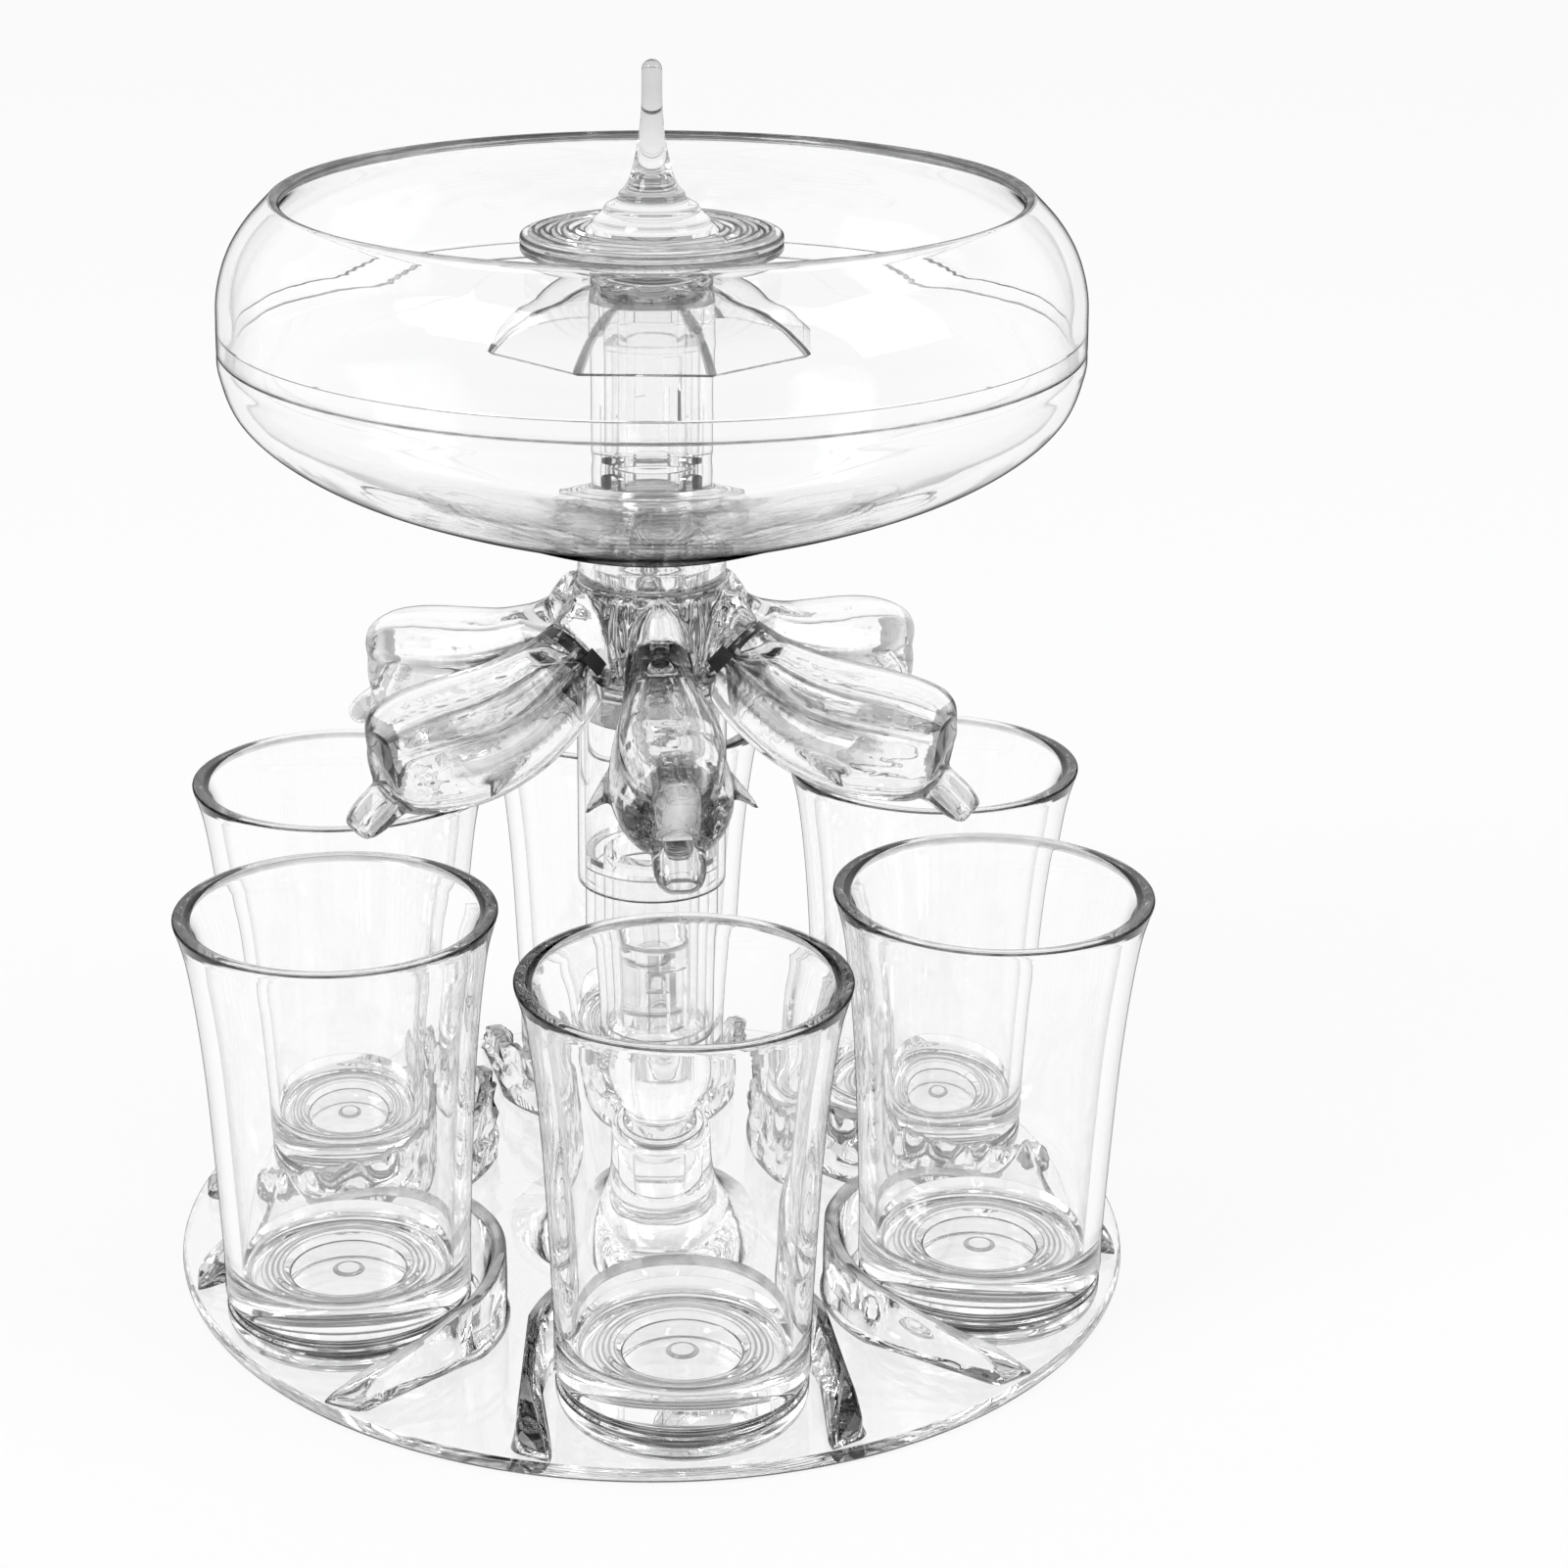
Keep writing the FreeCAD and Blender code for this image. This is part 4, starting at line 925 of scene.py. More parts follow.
        def folds(r: float, z: float, angle: float) -> tuple[float, float]:
            """Radial folds that fade towards the top and the front."""
            if r < top_r - 0.05 or z < 0.2:
                return 0.0, 0.0
            away = (0.5 - 0.5 * math.cos(angle - front)) ** 2
            low_part = max(0.0, 1 - z / 16.0) * min(1.0, z / 1.5)
            wave = math.sin(14 * angle + 0.25 * z) + 0.5 * math.sin(23 * angle - 0.4 * z)
            return self.fold * away * low_part * wave, 0.0

        return lathe("pedestal", line, 216, folds)

    def shade(self, middle: Vector, normal: Vector) -> float | None:
        """Painted shade on the holders' crests, darkest by the front station, and along their
        foot lines; none on the tray or round the pedestal.
        """
        out = math.hypot(middle.x, middle.y)
        if middle.z < 0.01:
            return 0.0
        if out < self.pedestal_foot_r + 3.0:
            return 0.0
        if middle.z < 0.5 and abs(normal.z) < 0.97:
            return 0.8
        front = abs(math.degrees(math.atan2(middle.y, middle.x)) - STATION_PHASE) < 30.0
        low = middle.z < self.height * 0.45
        return (0.75 if front else 0.25 if low else 0.6) if normal.z > 0.45 else 0.0

    def build(self) -> None:
        """Unite disc, pedestal and holders into one moulding."""
        half, r = LIFT / 2, self.radius - self.rim_gap
        nose = [(r - half + half * math.cos(t), half * math.sin(t) - half)
                for t in (math.pi * (k / 14 - 0.5) for k in range(15))]
        disc = lathe("tray", [(0, -LIFT)] + nose + [(0, 0)], 240)
        parts = [self.pedestal()] + [self.holder(i) for i in range(STATIONS)]
        moulding = carved(disc, joined("uprights", parts), "UNION")
        # painted shade from the bends, with the painted shade of crests and foot lines
        paint_turn_shade(moulding, lines=self.shade)
        nodes = ["tray_disc", "pedestal"]
        nodes += [f"cup_holder_{i + 1}" for i in range(STATIONS)]
        place("base_moulding", moulding, self.material, Body.BASE.value, nodes)


# ---------------------------------------------------------------------------
# Column
# ---------------------------------------------------------------------------
@dataclass
class Column:
    """Foot with its bulb and the two tubes."""

    material: bpy.types.Material
    foot_top: float = 36.0
    tube_r: float = 10.82
    tube_bore: float = 9.4
    outer_r: float = 12.0
    outer_bore: float = 10.9
    outer_low: float = 62.5
    outer_high: float = 96.4
    lower_high: float = 66.0
    corner: float = 0.28         # eased edges of the tubes
    pin_z: float = 47.0
    pin_r: float = 1.4
    boss_r: float = 6.15
    boss_top: float = 52.0
    pin_reach: float = 7.7

    def foot(self) -> bpy.types.Mesh:
        """Spigot, flange, neck, bulb and boss as one turned piece, with pins."""
        top = self.foot_top
        bulb = smooth_line([(7.9, 21.85), (8.3, 23.0), (9.9, 25.2), (10.8, 28.0),
                            (11.05, 30.6), (10.9, 33.6), (self.tube_r, top)], 5)
        low = rounded([(0, 7.8), (5.4, 7.8, 0.2), (6.0, 8.4, 0.2), (6.0, 18.45, 0.15),
                       (9.7, 18.45, 0.3), (9.7, 19.65, 0.35), (7.9, 19.65, 0.4),
                       (7.9, 21.85)])
        high = rounded([(self.tube_r, top), (9.35, top, 0.15), (9.35, top + 1.6, 0.3),
                        (self.boss_r, top + 1.6, 0.5), (self.boss_r, self.boss_top, 0.9),
                        (0, self.boss_top)])
        body = lathe("foot", low[:-1] + bulb + high[1:], 144)
        ring = [Vector((0, self.pin_r * math.cos(a), self.pin_z + self.pin_r * math.sin(a)))
                for a in turn(28)]
        reach = self.pin_reach
        pins = []
        for x, scale in ((-reach, 0.8), (-reach + 0.3, 1.0), (reach - 0.3, 1.0),
                         (reach, 0.8)):
            middle = Vector((x, 0, self.pin_z))
            pins.append([middle + (v - Vector((0, 0, self.pin_z))) * scale for v in ring])
        return carved(body, turned(loft("pins", pins), STATION_PHASE), "UNION")

    def build(self) -> None:
        """Build the foot and tubes."""
        base, upper = Body.BASE.value, Body.UPPER.value
        place("foot", self.foot(), self.material, base, ["column_foot"])
        inner = tube_line(self.tube_bore, self.tube_r, self.foot_top + 0.05, self.lower_high,
                          self.corner)
        outer = tube_line(self.outer_bore, self.outer_r, self.outer_low, self.outer_high,
                          self.corner)
        place("inner_tube", lathe("inner_tube", inner), self.material, base,
              ["lower_tube"])
        place("sliding_tube", lathe("sliding_tube", outer), self.material, upper,
              ["outer_tube"])


# ---------------------------------------------------------------------------
# Spouts and hub
# ---------------------------------------------------------------------------
@dataclass
class RootPlane:
    """Sloping seat on the hub where a spout takes off, on the +X side."""

    r: float = 13.4
    z: float = 103.2
    slope: float = -40.0
    half_h: float = 6.9
    half_w: float = 4.8

    def at(self, distance: float) -> Point:
        """Point of the root's axis, a distance beyond the seat."""
        a = math.radians(self.slope)
        return self.r + distance * math.cos(a), self.z + distance * math.sin(a)

    def ring(self, distance: float, half_h: float, half_w: float, count: int = 36,
             ) -> list[Vector]:
        """Oval across the root's axis, a distance beyond the seat."""
        r, z = self.at(distance)
        return oval(r, z, self.slope, half_h, half_w, count)


def slope_up(slope: float) -> Vector:
    """Direction that stands square on a slope in the XZ plane."""
    a = math.radians(slope)
    return Vector((-math.sin(a), 0, math.cos(a)))


def bulged(value: float, power: float) -> float:
    """Raise a sine or cosine to a power and keep its sign."""
    return math.copysign(abs(value) ** power, value)


def oval(r: float, z: float, slope: float, half_h: float, half_w: float,
         count: int = 36, power: float = 2.0) -> list[Vector]:
    """Ring across a line in the XZ plane.

    Args:
        r: Way out of its middle.
        z: Height of its middle.
        slope: The line's slope there, in degrees.
        half_h: Half its height.
        half_w: Half its width.
        count: Points on the ring.
        power: 2 for an ellipse, more for a squarer ring.

    Returns:
        The ring's points.
    """
    up, middle = slope_up(slope), Vector((r, 0, z))
    return [middle + up * (bulged(math.sin(t), 2 / power) * half_h)
            + Vector((0, bulged(math.cos(t), 2 / power) * half_w, 0)) for t in turn(count)]


@dataclass
class SpoutSet:
    """Six hollow spouts shaped as fish that leap from the hub to the cups."""

    material: bpy.types.Material
    seal_material: bpy.types.Material
    root: RootPlane = field(default_factory=RootPlane)
    outlet_r: float = 54.9
    outlet_z: float = 82.3
    body_h: float = 10.1
    body_w: float = 9.5
    beak_h: float = 2.75
    beak_w: float = 4.1
    beak_slope: float = -34.5
    wall: float = 2.1
    hollow_power: float = 4.0    # the hollow is square across, flat under the back
    hollow_h: float = 0.93       # its share of the body's height
    hollow_w: float = 0.8        # and of the width between the walls
    hollow_least: float = 0.9    # least half size
    bore_h: float = 1.45
    bore_w: float = 2.4
    seal: float = 1.1
    bed: float = 2.6            # how far the seal's ring lies within the root's outline
    pad_middle: float = 4.0      # degrees round the root, of the seal's pads
    pad_span: float = 16.0
    stripe_end: float = 42.0     # way out where the flanks' painted shade stripes have faded
    brow_r: float = 48.9         # the head's blunt front lies beyond
    skirt_r: float = 12.5
    skirt_top: float = 98.35
    voxel: float = 0.42
    fullness: float = 0.85       # 1 for an ellipse across, less for a fuller body
    back_flat: float = 0.9       # the back flattens there, as a share of the half height
    groove: float = 0.2          # between back and belly, as a share of the half width
    groove_lift: float = 16.0    # degrees above the widest place
    groove_span: float = 13.0    # degrees
    stripe_rise: float = 0.24    # upper painted shade stripe, as a share of the half height
    stripe_gap: float = 0.42     # down to the lower stripe
    fin_z: float = 91.6
    fin_droop: float = 0.28      # fall of a fin on its way out to the side
    fin_rake: float = 0.25       # and on its way along the body
    fin_line: tuple[tuple[float, ...], ...] = (    # y, r, half length, half thickness
        (7.4, 32.0, 5.0, 1.0), (9.6, 33.6, 3.6, 0.75), (11.2, 35.4, 2.2, 0.6),
        (12.6, 37.4, 1.1, 0.4), (13.1, 38.6, 0.3, 0.2))
    seal_line: tuple[Point, ...] = (    # way along the root, how far the rim has shrunk
        (0.03, 0.35), (0.12, 0.2), (0.35, 0.06), (0.75, 0.06), (0.98, 0.2), (1.07, 0.35))
    pad_line: tuple[Point, ...] = (    # way along the root, thickness
        (-0.7, 0.1), (-0.55, 0.25), (1.65, 0.25), (1.8, 0.1))
    bore: tuple[tuple[float, ...], ...] = ((0.80, 0.70, 1.0, 1.0), (0.98, 0.965, 1.0, 1.0))
    bore_past: float = 2.2       # how far the bore's cutter runs past the outlet
    body: tuple[tuple[float, ...], ...] = (
        (0.087, 0.152, 0.79, 0.62), (0.195, 0.285, 0.88, 0.75), (0.34, 0.402, 0.95, 0.905),
        (0.508, 0.470, 1.0, 1.0), (0.665, 0.487, 0.98, 0.97), (0.78, 0.50, 0.92, 0.86),
        (0.84, 0.515, 0.82, 0.72), (0.872, 0.525, 0.66, 0.53), (0.888, 0.53, 0.44, 0.33),
        (0.896, 0.535, 0.18, 0.14))
    beak: tuple[tuple[float, ...], ...] = (
        (0.766, 0.708, 1.2, 1.12), (0.863, 0.813, 1.0, 1.0), (0.935, 0.909, 0.91, 0.95),
        (0.983, 0.976, 0.69, 0.756), (1.0, 1.0, 0.327, 0.39))

    def along(self, shares: Sequence[Sequence[float]], half_h: float, half_w: float,
              ) -> list[tuple[float, ...]]:
        """Middle and half sizes of each section, from its shares."""
        reach, drop = self.outlet_r - self.root.r, self.root.z - self.outlet_z
        return [(self.root.r + reach * a, self.root.z - drop * b, half_h * c, half_w * d)
                for a, b, c, d in shares]

    def across(self, r: float, z: float, slope: float, half_h: float, half_w: float,
               groove: float) -> list[Vector]:
        """Ring of the body: flat along the back, grooved between back and belly.

        Args:
            r: Way out of its middle.
            z: Height of its middle.
            slope: The body's slope there, in degrees.
            half_h: Half its height.
            half_w: Half its width.
            groove: Depth of the grooves, as a share of the radius.

        Returns:
            The ring's points.
        """
        up, flat = slope_up(slope), half_h * self.back_flat
        ring = []
        for t in turn(48):
            c, s = math.cos(t), math.sin(t)
            lift = math.degrees(math.asin(max(-1.0, min(1.0, s))))
            share = 1 - groove * math.exp(-((lift - self.groove_lift) / self.groove_span) ** 2)
            w = bulged(c, self.fullness) * half_w * share
            h = bulged(s, self.fullness) * half_h * share
            if h > flat:
                h = flat + (h - flat) * 0.5
            ring.append(Vector((r, w, z)) + up * h)
        return ring

    @cached_property
    def sections(self) -> list[tuple[float, ...]]:
        """Sections of the body from the root to the head, closely spaced."""
        r, z = self.root.at(0.05)
        rows = [(r, z, self.root.half_h, self.root.half_w)]
        rows += self.along(self.body, self.body_h, self.body_w)
        return smooth_line(rows, 4)

    @staticmethod
    def slopes(rows: Sequence[Sequence[float]], first: float) -> list[float]:
        """Slope of the line at each section, in degrees."""
        out = []
        for i in range(len(rows)):
            a, b = rows[max(i - 1, 0)], rows[min(i + 1, len(rows) - 1)]
            out.append(math.degrees(math.atan2(b[1] - a[1], b[0] - a[0])))
        for i in range(4):
            out[i] = first + (out[4] - first) * i / 4
        return out

    def fin(self, side: int) -> bpy.types.Mesh:
        """Side fin that sweeps back to a point."""
        rings = []
        y0, r0 = self.fin_line[0][:2]
        for y, r, long, thick in smooth_line(self.fin_line, 3):
            z = self.fin_z - (y - y0) * self.fin_droop - self.fin_rake * (r - r0)
            rings.append([Vector((r + long * math.cos(t), side * y,
                                  z + thick * math.sin(t)
                                  - long * math.cos(t) * self.fin_rake))
                          for t in turn(16)])
        return loft("fin", rings)

    def clear_of_skirt(self, mesh: bpy.types.Mesh) -> bpy.types.Mesh:
        """Cut away what would stand in the hub's skirt."""
        low = 80.0
        room = [(0, low), (self.skirt_r, low), (self.skirt_r, self.skirt_top),
                (0, self.skirt_top)]
        return carved(mesh, lathe("skirt_room", room, 96))

    def make(self) -> bpy.types.Mesh:
        """Body, beak and fins melted together, then hollowed."""
        rows = self.sections
        slopes = self.slopes(rows, self.root.slope)
        last = len(rows) - 1
        rings = []
        for i, ((r, z, h, w), slope) in enumerate(zip(rows, slopes)):
            depth = self.groove * math.sin(math.pi * min(1.0, i / last)) ** 0.6
            rings.append(self.across(r, z, slope, h, w, depth))
        body = loft("body", rings)
        beak_rows = smooth_line(self.along(self.beak, self.beak_h, self.beak_w), 4)
        beak = loft("beak", [oval(r, z, self.beak_slope, h, w, 32, 2.3)
                             for r, z, h, w in beak_rows])
        skin = fused(joined("spout", [body, beak, self.fin(1), self.fin(-1)]), self.voxel, 3)
        inner = [self.root.ring(-1.5, 1.7, 1.7), self.root.ring(2.2, 1.8, 1.8)]
        least = self.hollow_least
        for (r, z, h, w), slope in list(zip(rows, slopes))[6:-10]:
            inner.append(oval(r, z, slope, max(self.hollow_h * h - self.wall, least),
                              max(self.hollow_w * (w - self.wall), least), 36,
                              self.hollow_power))
        skin = carved(skin, loft("hollow", inner))
        aim = math.radians(self.beak_slope)
        bore = self.along(self.bore, self.bore_h, self.bore_w)
        bore.append((self.outlet_r + self.bore_past * math.cos(aim),
                     self.outlet_z + self.bore_past * math.sin(aim), self.bore_h, self.bore_w))
        skin = carved(skin, loft("outlet", [oval(r, z, self.beak_slope, h, w, 32, 2.6)
                                            for r, z, h, w in bore]))
        pocket = [self.root.ring(distance, self.root.half_h - self.bed + 0.05,
                                 self.root.half_w - self.bed + 0.05, 48)
                  for distance in (-1.0, self.seal + 0.05)]
        return self.clear_of_skirt(carved(skin, loft("pocket", pocket)))

    def pad(self, side: int) -> bpy.types.Mesh:
        """Pad of the seal that wraps one flank of the root."""
        up = slope_up(self.root.slope)
        rings = []
        for distance, thick in self.pad_line:
            r, z = self.root.at(distance)
            grown = max(0.0, distance - 0.3)
            half_h = self.root.half_h + 0.3 * grown
            half_w = self.root.half_w + 0.2 * grown
            outside, inside = [], []
            for k in range(9):
                t = math.radians(self.pad_middle + self.pad_span * (k / 4 - 1))
                for line, lift in ((outside, thick), (inside, -0.3)):
                    line.append(Vector((r, side * (half_w + lift) * math.cos(t), z))
                                + up * (half_h + lift) * math.sin(t))
            rings.append(outside + inside[::-1])
        return loft("pad", rings)

    def make_seal(self) -> bpy.types.Mesh:
        """Oval ring of silicone with rounded rims, and a pad on either flank."""
        outside, inside = [], []
        for distance, shrink in self.seal_line:
            outside.append(self.root.ring(distance, self.root.half_h - self.bed - shrink,
                                          self.root.half_w - self.bed - shrink, 48))
            inside.append(self.root.ring(distance, 1.6 + shrink, 1.6 + shrink, 48))
        ring = loft("seal_ring", outside + inside[::-1], hoop=True)
        return self.clear_of_skirt(joined("seal", [ring, self.pad(1), self.pad(-1)]))

    def shade(self, middle: Vector, normal: Vector) -> float | None:
        """Painted shade on the fins, the head's blunt front, the nozzle's sides and in stripes
        along the flanks' grooves.
        """
        if abs(middle.y) > self.body_w + 0.3:
            return 0.15
        if middle.x > self.brow_r and middle.z > self.outlet_z + 6.0 and normal.x > 0.75:
            return 0.65 * min(1.0, 0.3 + abs(middle.y) / 4)
        if middle.x > self.brow_r + 1.0 and middle.z < self.outlet_z + 5.0:
            return 0.0 if abs(middle.y) < 0.8 * self.beak_w else 0.4
        if abs(normal.y) < 0.25 or not self.root.r < middle.x < self.stripe_end:
            return None
        near = min(self.sections, key=lambda row: abs(row[0] - middle.x))
        rise = (middle.z - near[1]) / near[2] - self.stripe_rise
        fade = (self.stripe_end - middle.x) / (self.stripe_end - self.root.r)
        stripe = (math.exp(-(rise / 0.09) ** 2)
                  + 0.6 * math.exp(-((rise + self.stripe_gap) / 0.07) ** 2))
        return fade ** 0.5 * stripe if stripe > 0.2 else None

    def build(self) -> None:
        """Set a spout and a seal on each station."""
        # painted shade from the bends, with the painted stripes and bands above
        spout = paint_turn_shade(self.make(), 0.5, 1.3, self.shade, 2)
        seal = self.make_seal()
        for index in range(STATIONS):
            number = index + 1
            place(f"fish_spout_{number}", turned(spout.copy(), station_angle(index)),
                  self.material, Body.UPPER.value, [f"spout_{number}"], False)
            place(f"root_seal_{number}", turned(seal.copy(), station_angle(index)),
                  self.seal_material, Body.UPPER.value,
                  [f"spout_seal_{number}"])
        bpy.data.meshes.remove(spout)
        bpy.data.meshes.remove(seal)


@dataclass
class Hub:
    """Fluted hub with the valve chamber and the six spout seats."""

    material: bpy.types.Material
    bottom: float = 96.45
    spigot_r: float = 10.85
    skirt_r: float = 12.2
    skirt_top: float = 98.05
    shoulder: float = 113.4
    neck_r: float = 9.0
    neck_top: float = 126.2
    bore_r: float = 7.8
    chamber_r: float = 5.4
    chamber_floor: float = 102.0
    seat_low: float = 119.2
    seat_top: float = 121.6
    voxel: float = 0.4
    stub: tuple[tuple[float, ...], ...] = (    # r, z, slope, half height, half width
        (8.6, 107.0, -29.0, 6.9, 3.6), (10.6, 105.8, -33.0, 7.8, 4.3),
        (12.4, 104.2, -38.0, 7.3, 4.7), (13.4, 103.2, -40.0, 6.9, 4.8))
    leaves: tuple[tuple[float, ...], ...] = (    # degrees off a station, low, high, half width
        (30.0, 99.4, 112.6, 1.7), (11.0, 107.0, 112.8, 1.15), (-11.0, 107.0, 112.8, 1.15),
        (21.5, 102.5, 112.8, 1.2), (-21.5, 102.5, 112.8, 1.2))

    def make(self) -> bpy.types.Mesh:
        """Core, seats and leaf-shaped flutes melted together, then bored."""
        core = rounded([(0, self.bottom - 5.5), (self.spigot_r, self.bottom - 5.5, 0.5),
                        (self.spigot_r, self.bottom), (self.skirt_r, self.bottom, 0.3),
                        (self.skirt_r, self.skirt_top, 0.5), (9.4, self.skirt_top + 0.3, 0.6),
                        (10.0, 101.5, 1.0), (10.6, 106.0, 2.0), (11.6, 111.5, 1.0),
                        (12.4, self.shoulder - 0.8, 0.6), (12.2, self.shoulder, 0.4),
                        (self.neck_r, self.shoulder, 0.3), (self.neck_r, self.neck_top, 0.3),
                        (0, self.neck_top)])
        parts = [lathe("core", core, 96)]
        rings = [oval(*row) for row in smooth_line(self.stub, 3)]
        for index in range(STATIONS):
            parts.append(turned(loft("boss", rings), station_angle(index)))
            parts += [self.leaf(station_angle(index) + offset, low, high, size)
                      for offset, low, high, size in self.leaves]
        skin = fused(joined("hub", parts), self.voxel, 2)
        hollow = rounded([(0, self.chamber_floor), (self.chamber_r, self.chamber_floor, 0.8),
                          (self.chamber_r, self.seat_low, 0.2),
                          (self.bore_r, self.seat_top, 0.2),
                          (self.bore_r, self.neck_top + 2), (0, self.neck_top + 2)])
        return carved(skin, lathe("chamber", hollow, 96))

    @staticmethod
    def leaf(degrees: float, low: float, high: float, size: float) -> bpy.types.Mesh:
        """Pointed upright leaf that stands out from the core."""
        rings = []
        for k in range(13):
            t = k / 12
            swell = math.sin(math.pi * min(1.0, t * 0.8 + 0.16)) ** 0.8
            z = low + (high - low) * t
            r = 10.3 + 1.7 * t + 0.25 * swell
            half = size * swell
            rings.append([Vector((r + 0.95 * half * math.cos(a), half * math.sin(a), z))
                          for a in turn(12)])
        return turned(loft("leaf", rings), degrees)

    def build(self) -> None:
        """Place the hub."""
        # painted shade on the hub's tightly turning edges
        hub = paint_turn_shade(self.make(), 0.6, 1.6, passes=1)
        place("hub", hub, self.material, Body.UPPER.value,
              ["hub_body", "hub_neck"], False)


# ---------------------------------------------------------------------------
# Bowl
# ---------------------------------------------------------------------------
@dataclass
class Bowl:
    """Two-part bowl with a lapped seam, its collar and its clamp flange."""

    material: bpy.types.Material
    radius: float = 66.45
    wall: float = 2.2
    floor: float = 119.5
    hole_r: float = 9.1
    seam_low: float = 151.9
    seam_high: float = 154.8
    rim_top: float = 174.0
    rim_r: float = 57.9
    collar_z: tuple[float, float] = (113.45, 119.4)
    collar_r: tuple[float, float] = (9.05, 11.8)
    flange_r: float = 15.3
    flange_low: float = 121.8
    flange_top: float = 126.4
    dish_line: tuple[Point, ...] = ((0.0, 0.0), (0.155, 0.025), (0.364, 0.157),
                                    (0.574, 0.29), (0.748, 0.423), (0.879, 0.568),
                                    (0.961, 0.719), (0.997, 0.898), (1.0, 1.0))
    ring_line: tuple[Point, ...] = ((0.004, 0.0), (0.041, 0.281), (0.216, 0.547),
                                    (0.52, 0.771), (1.0, 1.0))

    def dish(self) -> bpy.types.Mesh:
        """Lower half, with the tongue that the upper half laps over."""
        line = smooth_line(shares_line((self.hole_r, self.floor),
                                       (self.radius, self.seam_low), self.dish_line), 7)
        inner = inset_line(line, self.wall)
        inner[0] = (self.hole_r, self.floor + self.wall)
        inner[-1] = (self.radius - self.wall, self.seam_low)
        tongue = self.radius - self.wall / 2 - 0.05
        lip = rounded([line[-2], (self.radius, self.seam_low, 0.22),
                       (tongue, self.seam_low, 0.1), (tongue, self.seam_high - 0.05, 0.2),
                       (self.radius - self.wall, self.seam_high - 0.05, 0.2),
                       (self.radius - self.wall, self.seam_low)], 4)
        return lathe("dish", line[:-2] + lip + list(reversed(inner))[1:], 208)

    def ring(self) -> bpy.types.Mesh:
        """Upper half, which curves in to the rounded rim."""
        line = smooth_line(shares_line((self.radius, self.seam_high),
                                       (self.rim_r, self.rim_top), self.ring_line), 7)
        inner = inset_line(line, self.wall)
        inner[0] = (self.radius - self.wall, self.seam_high)
        low = self.seam_low + 0.05
        groove = self.radius - self.wall / 2 + 0.05
        lip = rounded([(self.radius - self.wall + 0.5, self.seam_high),
                       (groove, self.seam_high, 0.1), (groove, low, 0.15),
                       (self.radius, low, 0.22), line[0]], 4)
        a, b = Vector(line[-1]), Vector(inner[-1])
        middle, half = (a + b) / 2, (a - b) / 2
        out = Vector((-half.y, half.x))
        crown = [middle + half * math.cos(t) + out * (0.85 * math.sin(t))
                 for t in (math.pi * k / 8 for k in range(1, 8))]
        rim = [(p.x, p.y) for p in crown]
        return lathe("ring", lip + line[1:] + rim + list(reversed(inner)), 208)

    def flange(self) -> bpy.types.Mesh:
        """Clamp flange whose top runs out in soft ripples."""
        low, top = self.flange_low, self.flange_top
        bore, r = self.collar_r[0], self.flange_r
        rise, wide = top - low, r - bore
        line = rounded([(bore, low), (r - wide * 0.26, low + rise * 0.12, 0.4),
                        (r, low + rise * 0.32, 0.5), (r - wide * 0.1, low + rise * 0.49, 0.5),
                        (r - wide * 0.27, low + rise * 0.51, 0.5),
                        (r - wide * 0.37, low + rise * 0.69, 0.4),
                        (r - wide * 0.53, low + rise * 0.64, 0.4),
                        (r - wide * 0.62, low + rise * 0.84, 0.4),
                        (r - wide * 0.78, top - rise * 0.11, 0.3),
                        (r - wide * 0.86, top, 0.2), (bore, top)])

        def petals(radius: float, z: float, angle: float) -> tuple[float, float]:
            """Gentle scallops round the flange's edge."""
            share = max(0.0, (radius - bore) / wide)
            return (-0.35 * share * (0.5 + 0.5 * math.cos(12 * angle)),
                    -0.12 * share * (0.5 + 0.5 * math.sin(12 * angle)) if z > low + 0.5 else 0.0)

        return lathe("flange", line, 192, petals)

    def build(self) -> None:
        """Place collar, dish, ring and flange."""
        upper = Body.UPPER.value
        z0, z1 = self.collar_z
        r0, r1 = self.collar_r
        collar = closed_line([(r0, z0, 0.3), (r1, z0, 0.5), (r1 - 0.15, z1 - 2.6, 0.4),
                              (r1, z1 - 1.9, 0.4), (r1, z1, 0.5), (r0, z1, 0.3)])
        place("collar", lathe("collar", collar), self.material, upper,
              ["bowl_collar"])
        place("bowl_lower", self.dish(), self.material, upper, ["bowl_dish"])
        place("bowl_upper", self.ring(), self.material, upper,
              ["bowl_rim_ring"])
        # painted shade on the flange's tightly turning edges
        place("clamp_flange", paint_turn_shade(self.flange(), 0.8, 2.5), self.material, upper,
              ["bowl_flange"])


